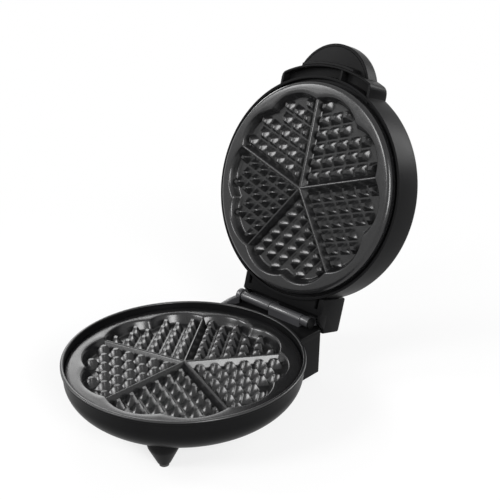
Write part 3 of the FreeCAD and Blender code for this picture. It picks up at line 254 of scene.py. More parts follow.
def eased(corners, steps=4):
    """Closed outline in radius and height; a corner's third value rounds it."""
    points = []
    just_under_half = 0.49
    for i, (x, z, ease) in enumerate(corners):
        corner = Vector((x, z))
        if ease <= 0:
            points.append(corner)
            continue
        before = Vector(corners[i - 1][:2]) - corner
        after = Vector(corners[(i + 1) % len(corners)][:2]) - corner
        trim = min(ease, before.length * just_under_half, after.length * just_under_half)
        start = corner + before.normalized() * trim
        end = corner + after.normalized() * trim
        for k in range(steps + 1):
            t = k / steps
            points.append(start * (1 - t) ** 2 + corner * 2 * t * (1 - t) + end * t * t)
    return points


def quarter_oval(centre_r, centre_z, reach, rise, steps=24):
    """Points from the side of an oval to its top or bottom."""
    angles = [pi / 2 * k / steps for k in range(1, steps)]
    return [(centre_r + reach * cos(angle), centre_z + rise * sin(angle), 0) for angle in angles]


def skin(loops):
    """Faces between each closed loop of point numbers and the next; equal points close up."""
    faces = []
    for low, high in zip(loops, loops[1:]):
        for k in range(len(low)):
            m = (k + 1) % len(low)
            face = list(dict.fromkeys([low[k], low[m], high[m], high[k]]))
            if len(face) > 2:
                faces.append(face)
    return faces


def opened(mesh):
    """Body for editing out of a mesh, which is deleted."""
    work = bmesh.new()
    work.from_mesh(mesh)
    bpy.data.meshes.remove(mesh)
    return work


def closed_body(verts, faces):
    """Body from points and faces, with doubles merged and faces turned outwards."""
    mesh = bpy.data.meshes.new("body")
    mesh.from_pydata(verts, [], faces)
    work = opened(mesh)
    bmesh.ops.remove_doubles(work, verts=work.verts, dist=doubles_within)
    bmesh.ops.recalc_face_normals(work, faces=work.faces)
    return work


def turned(outline, axis, segments=turned_segments):
    """Closed outline turned about an upright axis; points on the axis become poles."""
    verts, rings = [], []
    for point in outline:
        start = len(verts)
        if point.x < on_axis:
            verts.append((axis.x, axis.y, point.y))
            rings.append([start] * segments)
            continue
        for k in range(segments):
            angle = 2 * pi * k / segments
            verts.append((axis.x + point.x * cos(angle), axis.y + point.x * sin(angle), point.y))
        rings.append(list(range(start, start + segments)))
    return closed_body(verts, skin(rings))


def meshed(works):
    """One mesh out of several closed bodies."""
    whole = bmesh.new()
    for work in works:
        part = bpy.data.meshes.new("part")
        work.to_mesh(part)
        work.free()
        whole.from_mesh(part)
        bpy.data.meshes.remove(part)
    mesh = bpy.data.meshes.new("whole")
    whole.to_mesh(mesh)
    whole.free()
    return mesh


def add_piece(name, mesh, material, body):
    """Piece with smooth faces and crisp creases that moves with a body."""
    mesh.name = name
    piece = placed(name, mesh)
    if not mesh.materials:
        mesh.materials.append(material)
    mesh.shade_smooth()
    mesh.set_sharp_from_angle(angle=crease_angle)
    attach(piece, body)
    return piece


def noise(surface, scale, detail, stretch=None):
    """Uneven pattern from 0 to 1 that is fixed to the piece."""
    tree = surface.id_data
    place = add_node(tree, "ShaderNodeTexCoord").outputs["Object"]
    if stretch:
        mapping = add_node(tree, "ShaderNodeMapping", {"Vector": place, "Scale": stretch})
        place = mapping.outputs["Vector"]
    pattern = add_node(tree, "ShaderNodeTexNoise",
                       {"Vector": place, "Scale": scale, "Detail": detail})
    return pattern.outputs["Fac"]


def vary_gloss(surface, pattern, roughness, spread):
    """Roughness that follows a pattern, between roughness plus each end of a spread."""
    least, most = [roughness + end for end in spread]
    gloss = add_node(surface.id_data, "ShaderNodeMapRange",
                     {"Value": pattern, "To Min": least, "To Max": most})
    feed(surface, {"Roughness": gloss.outputs["Result"]})


def vary_tone(surface, pattern, colour, factor):
    """Colour that goes to itself times a factor where a pattern is high."""
    other = tuple(c * factor for c in colour[:3]) + (1,)
    tone = add_node(surface.id_data, "ShaderNodeMix",
                    {"Factor": pattern, "A": colour, "B": other}, data_type="RGBA")
    feed(surface, {"Base Color": tone.outputs["Result"]})


def raise_skin(surface, pattern, strength, depth):
    """Fine relief that follows a pattern."""
    bump = add_node(surface.id_data, "ShaderNodeBump",
                    {"Height": pattern, "Strength": strength, "Distance": depth})
    feed(surface, {"Normal": bump.outputs["Normal"]})


def moulded_plastic(name, colour, roughness, specular=0.5):
    """Moulded plastic: a fine spark-eroded grain, with slow changes of gloss from handling."""
    material, surface = new_material(name, {"Specular IOR Level": specular})
    grain = noise(surface, grain_scale, grain_detail)
    raise_skin(surface, grain, grain_strength, grain_depth)
    wear = noise(surface, handling_scale, handling_detail)
    vary_gloss(surface, wear, roughness, handling_gloss)
    vary_tone(surface, wear, colour, handling_tint)
    return material


housing_plastic = moulded_plastic("satin_black_plastic", plastic_black, plastic_roughness,
                                  plastic_specular)
outer_oval = quarter_oval(belly_flat, belly_top, belly_reach, belly_low - belly_top)
inner_oval = quarter_oval(belly_flat, belly_top, belly_reach - bowl_wall,
                          belly_low + bowl_wall - belly_top)
bowl_outline = [(0, belly_low, 0), (belly_flat, belly_low, 0)] + outer_oval[::-1]
bowl_outline += [(belly_wall, belly_top, 0), (groove_r, lip_top - lip_band, groove_edge),
                 (lip_outer, lip_top - lip_band, lip_lower_edge), (lip_outer, lip_top, lip_edge),
                 (lip_inner, lip_top, lip_edge), (lip_inner, ledge_z, ledge_edge),
                 (ledge_inner, ledge_z, ledge_edge), (ledge_inner, belly_top, 0),
                 (belly_wall - bowl_wall, belly_top, 0)]
bowl_outline += inner_oval + [(belly_flat, belly_low + bowl_wall, 0), (0, belly_low + bowl_wall, 0)]
bowl_mesh = meshed([turned(eased(bowl_outline), plate_axis)])
bowl_mesh.materials.append(housing_plastic)
# Lip top material: its lighter black is a painted highlight, and its extra gloss is real.
bowl_mesh.materials.append(moulded_plastic("lip_highlight_plastic", lip_highlight_black, lip_roughness))
# Faces on the lip's top take the lighter black of the painted highlight.
for face in bowl_mesh.polygons:
    reach = (face.center - plate_axis).xy.length
    if face.center.z > lip_top - lip_highlight_band and reach > lip_inner - lip_highlight_band:
        face.material_index = 1
base_bowl = add_piece("base_bowl", bowl_mesh, housing_plastic, "base")
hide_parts("base_housing")


# Tower: a hollow upright box behind the bowl, moulded in one with it and open below for
# its screwed cover. Its top stands against the round lip, and every outer edge is soft.
hinge = Vector(frame["joints"][0]["pos_m"])
tower_half = 49.5 * mm
tower_front = hinge.y - 30.7 * mm
tower_back = hinge.y + 7.8 * mm
tower_top = hinge.z - 6.0 * mm
tower_step = tower_top - 6.0 * mm
tower_low = 5.5 * mm
tower_ease = 1.6 * mm
tower_corner = 3.0 * mm
corner_steps = 6
contact_r = 103.0 * mm
contact_steps = 24
hair = 0.01 * mm


def lofted(loops):
    """Closed body through loops of points, capped at both ends."""
    work = bmesh.new()
    rings = [[work.verts.new(point) for point in loop] for loop in loops]
    for near, far in zip(rings, rings[1:]):
        for k in range(len(near)):
            m = (k + 1) % len(near)
            work.faces.new((near[k], near[m], far[m], far[k]))
    work.faces.new(rings[0])
    work.faces.new(rings[-1])
    bmesh.ops.recalc_face_normals(work, faces=work.faces)
    return work


def soften(work, edges, ease, steps=3):
    """Rounds edges of a body."""
    bmesh.ops.bevel(work, geom=edges, offset=ease, segments=steps, profile=0.5,
                    affect="EDGES", clamp_overlap=True)


def top_edges(work):
    """Edges in the highest plane of a body."""
    highest = max(vert.co.z for vert in work.verts)
    return [e for e in work.edges if min(v.co.z for v in e.verts) > highest - hair]


def slab(outline, low, high, ease):
    """Upright body on an outline seen from above, its top edge rounded."""
    work = lofted([[(x, y, z) for x, y in outline] for z in (low, high)])
    soften(work, top_edges(work), ease)
    return work


tower_back_corners = []
for side, start in ((1, 0), (-1, pi / 2)):
    for k in range(corner_steps + 1):
        angle = start + pi / 2 * k / corner_steps
        tower_back_corners.append((side * (tower_half - tower_corner) + tower_corner * cos(angle),
                                   tower_back - tower_corner + tower_corner * sin(angle)))
against_lip = []
for k in range(contact_steps + 1):
    x = -tower_half + 2 * tower_half * k / contact_steps
    against_lip.append((x, plate_axis.y + sqrt(contact_r ** 2 - x ** 2)))
straight_front = [(-tower_half, tower_front), (tower_half, tower_front)]
tower_box = slab(straight_front + tower_back_corners, tower_low, tower_step + tower_ease,
                 tower_ease)
open_end = [f for f in tower_box.faces if max(v.co.z for v in f.verts) < tower_low + hair]
bmesh.ops.delete(tower_box, geom=open_end, context="FACES")
bmesh.ops.solidify(tower_box, geom=tower_box.faces[:], thickness=bowl_wall)
bmesh.ops.recalc_face_normals(tower_box, faces=tower_box.faces)
tower_head = slab(against_lip + tower_back_corners, tower_step, tower_top, tower_ease)
tower_mesh = meshed([tower_box, tower_head])
base_tower = add_piece("base_tower", tower_mesh, housing_plastic, "base")


# Front feet: two hollow cones moulded with the bowl's belly, each ending in a round tip
# over its rubber pad.
foot_x = 47.0 * mm
foot_y = -64.7 * mm
foot_r = 13.3 * mm
foot_tip = 5.0 * mm
foot_tip_edge = 1.6 * mm
foot_low = 2.0 * mm
cone_top = foot_low + 17.0 * mm
cone_edge = 3.0 * mm
foot_top = 28.0 * mm
foot_sunk = 1.5 * mm


def belly_height_at(reach):
    """Height of the belly's outer skin at a distance from the plates' axis."""
    over = max(reach - belly_flat, 0) / belly_reach
    return belly_top - (belly_top - belly_low) * sqrt(max(1 - over * over, 0))


def foot(side):
    """Cone on one side, its upper end cut to the belly."""
    outline = [(0, foot_low, 0), (foot_tip, foot_low, foot_tip_edge), (foot_r, cone_top, cone_edge),
               (foot_r, foot_top, 0), (0, foot_top, 0)]
    middle = plate_axis + Vector((side * foot_x, foot_y, 0))
    work = turned(eased(outline, steps=6), middle, segments=48)
    for vert in work.verts:
        if vert.co.z > cone_top:
            limit = belly_height_at((vert.co - plate_axis).xy.length) + foot_sunk
            vert.co.z = min(vert.co.z, limit)
    return work


feet = add_piece("front_feet", meshed([foot(-1), foot(1)]), housing_plastic, "base")


# Base knuckles: an ear at the left, with a cheek running to it from the lip, and the long
# middle bearing on a flat web. They are moulded with the tower's top, glossier, and
# painted a lighter grey than the housing as a painted highlight; they hold the steel pins
# on which the lid's knuckles turn.
ear_r = 6.5 * mm
ear_edge = 0.8 * mm
ear_x = (-49.5 * mm, -44.5 * mm)
barrel_r = 5.0 * mm
barrel_edge = 0.6 * mm
middle_x = (-7.0 * mm, 31.5 * mm)
web_foot = tower_top - 3.0 * mm
web_edge = 0.5 * mm
cheek_foot = tower_top - 2.0 * mm
cheek_top = hinge.z + 1.0 * mm
cheek_nose = cheek_top - 1.5 * mm
cheek_front = plate_axis.y + 91.4 * mm
cheek_ramp = 10.0 * mm
cheek_back = hinge.y - 4.0 * mm
# A lighter grey than the housing's black: a painted highlight on the knuckles.
knuckle_highlight_grey = (0.030, 0.030, 0.032, 1)
knuckle_roughness = 0.24
visible_crease = radians(30)


def rounded_block(low, high, ease):
    """Block with rounded edges."""
    work = bmesh.new()
    bmesh.ops.create_cube(work, size=1)
    size = Vector(high) - Vector(low)
    middle = (Vector(high) + Vector(low)) / 2
    for vert in work.verts:
        vert.co = vert.co * size + middle
    soften(work, work.edges[:], ease)
    return work


def web(x0, x1, half, low, high, ease):
    """Flat block under or over the hinge line that carries a knuckle."""
    return rounded_block((x0, hinge.y - half, low), (x1, hinge.y + half, high), ease)


def barrel(x0, x1, radius, ease):
    """Round bar along the hinge line with rounded ends."""
    outline = eased([(0, x0, 0), (radius, x0, ease), (radius, x1, ease), (0, x1, 0)], steps=3)
    work = turned(outline, Vector((0, 0, 0)), segments=40)
    lying = Matrix.Translation((0, hinge.y, hinge.z)) @ Matrix.Rotation(pi / 2, 4, "Y")
    bmesh.ops.transform(work, verts=work.verts, matrix=lying)
    return work


def side_plate(x0, x1, corners, ease, top_ease=0):
    """Body between two planes across the hinge line, from its corners in depth and height."""
    work = lofted([[(x, y, z) for y, z in corners] for x in (x0, x1)])
    if top_ease > 0:
        soften(work, top_edges(work), top_ease, steps=6)
    soften(work, [e for e in work.edges if e.calc_face_angle(0) > visible_crease], ease)
    return work


# Knuckle plastic: its lighter grey is a painted highlight, and its extra gloss is real.
knuckle_highlight_plastic = moulded_plastic("knuckle_plastic_painted_highlight", knuckle_highlight_grey, knuckle_roughness)
cheek_corners = [(cheek_front, cheek_foot), (cheek_front, cheek_nose),
                 (cheek_front + cheek_ramp, cheek_top), (cheek_back, cheek_top),
                 (hinge.y, cheek_foot)]
knuckle_works = [barrel(*ear_x, ear_r, ear_edge), side_plate(*ear_x, cheek_corners, web_edge),
                 web(*ear_x, ear_r, web_foot, hinge.z, web_edge),
                 barrel(*middle_x, barrel_r, barrel_edge),
                 web(*middle_x, barrel_r, web_foot, hinge.z, web_edge)]
base_knuckles = add_piece("base_knuckles", meshed(knuckle_works), knuckle_highlight_plastic, "base")


# Lower plate: an aluminium casting under a dark grey non-stick coat, screwed into the
# bowl from below. Ten round lobes stand about five hearts; the cavity's wall is drafted
# and every edge is soft.
lobe_count = 10
lobe_centre = 51.4 * mm
lobe_r = 37.9 * mm
cusp_ease = 1.6 * mm
first_divider = radians(-90)
cavity_depth = 9.0 * mm
cavity_edge = 1.3 * mm
cavity_shoulder = 1.9 * mm
draft_inset = 4.2 * mm
toe_height = 1.3 * mm
toe_reach = 1.6 * mm
flange_shares = (0.66, 0.33)
floor_shares = (0.7, 0.4, 0.15)
flange_r = plate_high.x
flange_thick = 3.0 * mm
flange_edge = 1.6 * mm
flange_bevel = 0.5 * mm
casting_r = 91.5 * mm
casting_depth = 12.5 * mm
coat_grey = (0.006, 0.006, 0.0063, 1)
coat_light = (0.020, 0.020, 0.021, 1)
coat_roughness = 0.21
coat_specular = 0.42
fleck_scale = 2200
fleck_detail = 2
fleck_range = (0.52, 0.72)
film_scale = 120
film_detail = 5
film_gloss = (-0.05, 0.09)
film_strength = 0.25
film_depth = 0.05 * mm


def lobe_reach(angle, inset):
    """Distance from the plates' axis to the lobed edge, moved in by an inset."""
    step = 2 * pi / lobe_count
    off = angle - first_divider - step / 2
    off -= step * round(off / step)
    reaches = []
    for turn_off in (off, abs(off) - step):
        reaches.append(lobe_centre * cos(turn_off)
                       + sqrt((lobe_r - inset) ** 2 - (lobe_centre * sin(turn_off)) ** 2))
    gap = max(cusp_ease - abs(reaches[0] - reaches[1]), 0) / cusp_ease
    return max(reaches) + gap * gap * cusp_ease / 4


def bend(start, corner, end, steps=4):
    """Rounded corner of the cavity's wall as insets and depths."""
    points = []
    for k in range(steps + 1):
        t = k / steps
        weights = ((1 - t) ** 2, 2 * t * (1 - t), t * t)
        points.append([sum(w * p[i] for w, p in zip(weights, (start, corner, end)))
                       for i in (0, 1)])
    return points


def casting(face_z, way, rim, back, around=720):
    """Plate as rings about its axis: rim, flange, cavity wall and floor, then the back.

    Way is +1 where the cavity opens upwards. Rim and back are radii and depths under the face.
    """
    slope = draft_inset / cavity_depth
    toe = cavity_depth - toe_height
    floor_inset = draft_inset + toe_reach
    wall = bend((-cavity_edge, 0), (0, 0), (slope * cavity_shoulder, cavity_shoulder))
    wall.append((slope * cavity_depth / 2, cavity_depth / 2))
    wall += bend((slope * toe, toe), (draft_inset, cavity_depth), (floor_inset, cavity_depth))
    verts = []

    def ring(depth, reach_at):
        """Closed loop of points at a depth, each as far out as its angle asks."""
        for k in range(around):
            angle = 2 * pi * k / around
            reach = reach_at(angle)
            verts.append((reach * cos(angle), plate_axis.y + reach * sin(angle),
                          face_z - way * depth))
        return list(range(len(verts) - around, len(verts)))

    def pole(depth):
        """One point on the axis that closes the loops before it."""
        verts.append((0, plate_axis.y, face_z - way * depth))
        return [len(verts) - 1] * around

    flange_start = rim[-1][0]
    front = [ring(depth, lambda angle: radius) for radius, depth in rim]
    front += [ring(0, lambda angle: (lobe_reach(angle, -cavity_edge) * (1 - share)
                                     + flange_start * share)) for share in flange_shares]
    front += [ring(depth, lambda angle: lobe_reach(angle, inset)) for inset, depth in wall]
    front += [ring(cavity_depth, lambda angle: lobe_reach(angle, floor_inset) * share)
              for share in floor_shares]
    front.append(pole(cavity_depth))
    behind = [front[0]] + [ring(depth, lambda angle: radius) for radius, depth in back]
    behind.append(pole(back[-1][1]))
    return closed_body(verts, skin(front) + skin(behind))


def coated_casting(name, colour, light, roughness):
    """Non-stick coat: fine pale flecks in a dark film over the slightly uneven casting."""
    material, surface = new_material(name, {"Specular IOR Level": coat_specular})
    flecks = noise(surface, fleck_scale, fleck_detail)
    pick = add_node(surface.id_data, "ShaderNodeValToRGB", {"Fac": flecks})
    for stop, position, tint in zip(pick.color_ramp.elements, fleck_range, (colour, light)):
        stop.position = position
        stop.color = tint
    feed(surface, {"Base Color": pick.outputs["Color"]})
    film = noise(surface, film_scale, film_detail)
    vary_gloss(surface, film, roughness, film_gloss)
    raise_skin(surface, film, film_strength, film_depth)
    return material


plate_coat = coated_casting("non_stick_coat", coat_grey, coat_light, coat_roughness)
lower_rim = [(flange_r, flange_thick), (flange_r, flange_edge),
             (flange_r - flange_bevel, flange_bevel), (flange_r - flange_edge, 0)]
lower_back = [(casting_r, flange_thick), (casting_r, casting_depth)]
lower_mesh = meshed([casting(flange_top, 1, lower_rim, lower_back)])
lower_casting = add_piece("lower_casting", lower_mesh, plate_coat, "base")
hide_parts("lower_plate")


# Dividers: five sloping ribs cast in one with the plate, from its middle to the notches
# between the hearts, their crests just under the flange.
heart_count = 5
heart_angle = 2 * pi / heart_count
divider_half = 3.7 * mm
divider_crest = 0.8 * mm
divider_height = 7.0 * mm
divider_reach = 85.0 * mm
divider_half_section = [(-divider_half - 1.2 * mm, -0.2 * mm),
                        (-divider_half - 0.4 * mm, 0.15 * mm),
                        (-divider_half + 0.4 * mm, 1.1 * mm),
                        (-divider_crest - 0.6 * mm, divider_height - 0.9 * mm),
                        (-divider_crest, divider_height - 0.2 * mm),
                        (0, divider_height)]
divider_section = divider_half_section + [(-x, z) for x, z in divider_half_section[-2::-1]]
lower_floor = flange_top - cavity_depth


def divider(number, floor_z, way):
    """Rib from the plate's middle outwards; way is +1 where it stands up."""
    angle = first_divider + heart_angle * number
    along = Vector((cos(angle), sin(angle), 0))
    side = Vector((-sin(angle), cos(angle), 0))
    reaches = (0, divider_reach / 2, divider_reach)
    return lofted([[plate_axis + along * reach + side * x + Vector((0, 0, floor_z + way * z))
                    for x, z in divider_section] for reach in reaches])


def divider_mesh(floor_z, way):
    """All the ribs of one plate."""
    return meshed([divider(number, floor_z, way) for number in range(heart_count)])


lower_dividers = add_piece("lower_dividers", divider_mesh(lower_floor, 1), plate_coat, "base")


# Pegs: four-sided stubs on a slanting grid between each pair of dividers, cast in one
# with the floor. One stub is shaped and then repeated over the five hearts.
peg_pitch = 13.0 * mm
peg_first = 9.8 * mm
peg_base = 5.0 * mm
peg_top = 1.9 * mm
peg_height = 7.0 * mm
peg_lobe_r = lobe_r - draft_inset - 3.4 * mm
pegs_a_side = 6
pegs_a_heart = pegs_a_side ** 2
peg_levels = [(peg_base + 0.9 * mm, -0.1 * mm, 1.0 * mm),
              (peg_base - 0.1 * mm, 0.7 * mm, 0.9 * mm),
              (peg_top + 0.35 * mm, peg_height - 0.7 * mm, 0.7 * mm),
              (peg_top - 0.25 * mm, peg_height, 0.5 * mm)]
peg_quarters = [(1, 1), (-1, 1), (-1, -1), (1, -1)]


def stub_object(way):
    """One peg on its rhombus, from levels that give its half width, height and edge."""
    along = Vector((cos(first_divider), sin(first_divider), 0))
    across = Vector((cos(first_divider + heart_angle), sin(first_divider + heart_angle), 0))
    loops = []
    for half, z, edge in peg_levels:
        loop = []
        for sx, sy in peg_quarters:
            for dx, dy in (((0, 1), (1, 0)) if sx == sy else ((1, 0), (0, 1))):
                a = sx * (half - edge * dx)
                b = sy * (half - edge * dy)
                loop.append(along * a + across * b + Vector((0, 0, way * z)))
        loops.append(loop)
    return placed("stub", meshed([lofted(loops)]))


def peg_tree(material):
    """Geometry nodes: a slanting grid of points, cut to the lobed floor, once for each heart."""
    tree = bpy.data.node_groups.new("heart_pegs", "GeometryNodeTree")
    face = tree.interface
    face.new_socket("Stub", in_out="INPUT", socket_type="NodeSocketObject")
    for name, value in (("Pitch", peg_pitch), ("First", peg_first), ("Floor", 0.0),
                        ("Lobe Centre", lobe_centre), ("Lobe Radius", peg_lobe_r)):
        socket = face.new_socket(name, in_out="INPUT", socket_type="NodeSocketFloat")
        socket.default_value = value
    face.new_socket("Geometry", in_out="OUTPUT", socket_type="NodeSocketGeometry")
    given = add_node(tree, "NodeGroupInput").outputs

    def result(kind, inputs, **settings):
        """First output of a new node."""
        return add_node(tree, kind, inputs, **settings).outputs[0]

    def calc(operation, *values):
        """Result of one sum on numbers or on other results."""
        return result("ShaderNodeMath", dict(enumerate(values)), operation=operation)

    def along_dividers(part):
        """One coordinate of a point, from its row along a divider and its column along the next."""
        row_part = calc("MULTIPLY", row_reach, calc(part, this_angle))
        return calc("ADD", row_part, calc("MULTIPLY", column_reach, calc(part, next_angle)))

    def length_of(first_side, second_side):
        """Distance from the axis, from its two sides."""
        squares = [calc("POWER", side, 2.0) for side in (first_side, second_side)]
        return calc("SQRT", calc("ADD", *squares))

    def keep(geometry, name, value):
        """Writes a number on each point."""
        return result("GeometryNodeStoreNamedAttribute",
                      {"Geometry": geometry, "Name": name, "Value": value}, data_type="FLOAT")

    def recall(name):
        """Number that was written on each point."""
        node = add_node(tree, "GeometryNodeInputNamedAttribute", {"Name": name}, data_type="FLOAT")
        return node.outputs["Attribute"]

    # Each point's heart, row and column, and from them its place.
    points = result("GeometryNodePoints", {"Count": pegs_a_heart * heart_count})
    index = result("GeometryNodeInputIndex", {})
    heart = calc("FLOOR", calc("DIVIDE", index, pegs_a_heart))
    place = calc("SUBTRACT", index, calc("MULTIPLY", heart, pegs_a_heart))
    row = calc("FLOOR", calc("DIVIDE", calc("ADD", place, 0.5), pegs_a_side))
    column = calc("SUBTRACT", place, calc("MULTIPLY", row, pegs_a_side))
    row_reach = calc("MULTIPLY_ADD", row, given["Pitch"], given["First"])
    column_reach = calc("MULTIPLY_ADD", column, given["Pitch"], given["First"])
    turn = calc("MULTIPLY", heart, heart_angle)
    this_angle = calc("ADD", turn, first_divider)
    next_angle = calc("ADD", this_angle, heart_angle)
    x = along_dividers("COSINE")
    y = along_dividers("SINE")

    # Points past the lobed edge of the floor are dropped.
    step = 2 * pi / lobe_count
    angle = calc("SUBTRACT", calc("ARCTAN2", y, x), first_divider + pi / lobe_count)
    nearest = calc("MULTIPLY", calc("ROUND", calc("DIVIDE", angle, step)), step)
    off = calc("SUBTRACT", angle, nearest)
    aside = calc("MULTIPLY", given["Lobe Centre"], calc("SINE", off))
    deep = calc("SQRT", calc("SUBTRACT", calc("POWER", given["Lobe Radius"], 2.0),
                             calc("POWER", aside, 2.0)))
    limit = calc("ADD", calc("MULTIPLY", given["Lobe Centre"], calc("COSINE", off)), deep)
    outside = calc("GREATER_THAN", length_of(x, y), limit)
    where = result("ShaderNodeCombineXYZ",
                   {0: x, 1: calc("ADD", y, plate_axis.y), 2: given["Floor"]})
    moved = result("GeometryNodeSetPosition", {"Geometry": points, "Position": where})
    marked = keep(keep(moved, "turn", turn), "outside", outside)
    dropped = calc("GREATER_THAN", recall("outside"), 0.5)
    left = result("GeometryNodeDeleteGeometry", {"Geometry": marked, "Selection": dropped})

    # A stub on each point that is left, turned with its heart.
    spin = result("ShaderNodeCombineXYZ", {2: recall("turn")})
    shape = add_node(tree, "GeometryNodeObjectInfo", {"Object": given["Stub"]})
    stand = result("GeometryNodeInstanceOnPoints",
                   {"Points": left, "Instance": shape.outputs["Geometry"], "Rotation": spin})
    real = result("GeometryNodeRealizeInstances", {0: stand})
    coated = result("GeometryNodeSetMaterial", {"Geometry": real, "Material": material})
    add_node(tree, "NodeGroupOutput", {0: coated})
    return tree


def result_of(thing):
    """Plain mesh of an object as its modifiers make it."""
    bpy.context.view_layer.update()
    graph = bpy.context.evaluated_depsgraph_get()
    return bpy.data.meshes.new_from_object(thing.evaluated_get(graph))


def peg_mesh(floor_z, way):
    """All the pegs of one plate, as a plain mesh; way is +1 where they stand up."""
    stub = stub_object(way)
    values = {"Stub": stub, "Floor": floor_z}
    carrier = placed("carrier", bpy.data.meshes.new("carrier"))
    grown = carrier.modifiers.new("grown", "NODES")
    grown.node_group = pegs
    for item in pegs.interface.items_tree:
        if item.item_type == "SOCKET" and item.in_out == "INPUT" and item.name in values:
            grown[item.identifier] = values[item.name]
    mesh = result_of(carrier)
    bpy.data.objects.remove(carrier)
    bpy.data.objects.remove(stub)
    return mesh


pegs = peg_tree(plate_coat)
lower_pegs = add_piece("lower_pegs", peg_mesh(lower_floor, 1), plate_coat, "base")


# Upper plate: the same casting turned over, screwed into the lid and standing proud of
# its rim on a rounded shoulder. Shaped shut, then swung open with the lid.
open_angle = radians(frame["joints"][0]["range_deg"][1])
swing = (Matrix.Translation(hinge) @ Matrix.Rotation(-open_angle, 4, "X")
         @ Matrix.Translation(-hinge))
rim_z = lip_top + 0.8 * mm
upper_face = rim_z - 5.6 * mm
upper_floor = upper_face + cavity_depth
shoulder_r = 99.0 * mm
shoulder_low = 9.3 * mm
shoulder_ease = 4.5 * mm
shoulder_steps = 8
shoulder_inner = 96.5 * mm
channel_depth = 5.3 * mm


def swung(mesh):
    """Moves a mesh that was shaped shut to the open pose."""
    mesh.transform(swing)
    return mesh


upper_rim = [(shoulder_r, shoulder_low), (shoulder_r, shoulder_ease)]
for k in range(1, shoulder_steps):
    angle = pi / 2 * k / shoulder_steps
    upper_rim.append((shoulder_r - shoulder_ease * (1 - cos(angle)),
                      shoulder_ease * (1 - sin(angle))))
upper_rim.append((shoulder_r - shoulder_ease, 0))
upper_back = [(shoulder_inner, shoulder_low), (shoulder_inner, channel_depth),
              (casting_r, channel_depth), (casting_r, casting_depth)]
upper_mesh = swung(meshed([casting(upper_face, -1, upper_rim, upper_back)]))
upper_casting = add_piece("upper_casting", upper_mesh, plate_coat, "lid")
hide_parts("upper_plate")
upper_dividers = add_piece("upper_dividers", swung(divider_mesh(upper_floor, -1)),
                           plate_coat, "lid")
upper_pegs = add_piece("upper_pegs", swung(peg_mesh(upper_floor, -1)), plate_coat, "lid")


# Lid shell: a domed moulding of the housing's plastic, with a slightly swelling wall, a
# rolled rim and a ledge for the upper plate. A disc in the round recess of its top covers
# the plate's screws.
rim_r = 104.2 * mm
rim_inner = 101.7 * mm
rim_edge = 0.7 * mm
lid_r = 105.5 * mm
lid_corner_z = rim_z + 27.9 * mm
lid_corner_reach = 31.2 * mm
lid_corner_height = 9.6 * mm
lid_edge_z = lid_corner_z + lid_corner_height
lid_dome = 1.7 * mm
lid_top_z = lid_edge_z + lid_dome
lid_flat = lid_r - lid_corner_reach
lid_ledge = rim_z + 3.7 * mm
lid_ledge_top = lid_ledge + 2.5 * mm
swell_steps = 10
recess_r = 43.15 * mm
recess_edge = 0.4 * mm
recess_z = lid_top_z - 1.9 * mm
recess_under = recess_z - 2.4 * mm
lid_outline = [(rim_r, rim_z, rim_edge)]
for k in range(1, swell_steps):
    t = k / swell_steps
    swell = (lid_r - rim_r) * (1 - (1 - t) ** 2)
    lid_outline.append((rim_r + swell, rim_z + (lid_corner_z - rim_z) * t, 0))
lid_outline.append((lid_r, lid_corner_z, 0))
lid_outline += quarter_oval(lid_flat, lid_corner_z, lid_corner_reach, lid_corner_height)
dome_at_recess = lid_edge_z + lid_dome * (1 - recess_r / lid_flat)
lid_outline += [(lid_flat, lid_edge_z, 0), (recess_r, dome_at_recess, recess_edge),
                (recess_r, recess_z, 0), (0, recess_z, 0), (0, recess_under, 0),
                (lid_flat, lid_edge_z - bowl_wall, 0)]
lid_outline += quarter_oval(lid_flat, lid_corner_z, lid_corner_reach - bowl_wall,
                            lid_corner_height - bowl_wall)[::-1]
lid_outline += [(lid_r - bowl_wall, lid_corner_z, 0), (rim_inner, lid_ledge_top, 0),
                (ledge_inner, lid_ledge_top, 0), (ledge_inner, lid_ledge, 0),
                (rim_inner, lid_ledge, 0), (rim_inner, rim_z, rim_edge), (rim_r, rim_z, 0)]
lid_mesh = swung(meshed([turned(eased(lid_outline), plate_axis)]))
lid_shell = add_piece("lid_shell", lid_mesh, housing_plastic, "lid")
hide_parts("lid_housing")


# Hinge block of the lid: a rounded box moulded behind the shell, which carries the lamps.
# Its lower front comes down before the barrel, with a slot near each end and a bracket
# beside the end cap; two glossy knuckles on short webs, painted a lighter grey as a painted
# highlight, reach round the pins.
block_half = 49.5 * mm
block_front = hinge.y - 24.7 * mm
block_back = hinge.y + 9.3 * mm
block_low = hinge.z + 12.0 * mm
block_top = hinge.z + 40.0 * mm
block_ease = 1.2 * mm
block_top_ease = 5.0 * mm
skirt_low = hinge.z + 3.0 * mm
skirt_back = hinge.y - 7.7 * mm
overlap = 1.0 * mm
slot_x = (40.0 * mm, 44.0 * mm)
slot_top = skirt_low + 4.0 * mm
slot_back = skirt_back - 6.0 * mm
slot_edge = 0.3 * mm
bracket_inset = 0.06 * mm
bracket_x = (46.0 * mm, block_half - bracket_inset)
bracket_edge = 0.6 * mm
bracket_sunk = 3.0 * mm
left_bracket_y = (skirt_back, hinge.y + 0.3 * mm)
right_bracket_y = (hinge.y - 2.7 * mm, hinge.y + 5.3 * mm)
lid_web_half = 3.5 * mm
lid_web_edge = 0.4 * mm
left_x = (-44.0 * mm, -7.5 * mm)
right_x = (32.0 * mm, 41.5 * mm)


def mirrored(span):
    """The same span on the other side of the middle."""
    return -span[1], -span[0]


def carved(body, tools):
    """Body with other bodies taken out of it."""
    block = placed("block", meshed([body]))
    cutter = placed("cutter", meshed(tools))
    cut = block.modifiers.new("cut", "BOOLEAN")
    cut.operation = "DIFFERENCE"
    cut.solver = "EXACT"
    cut.object = cutter
    mesh = result_of(block)
    bpy.data.objects.remove(block)
    bpy.data.objects.remove(cutter)
    return opened(mesh)


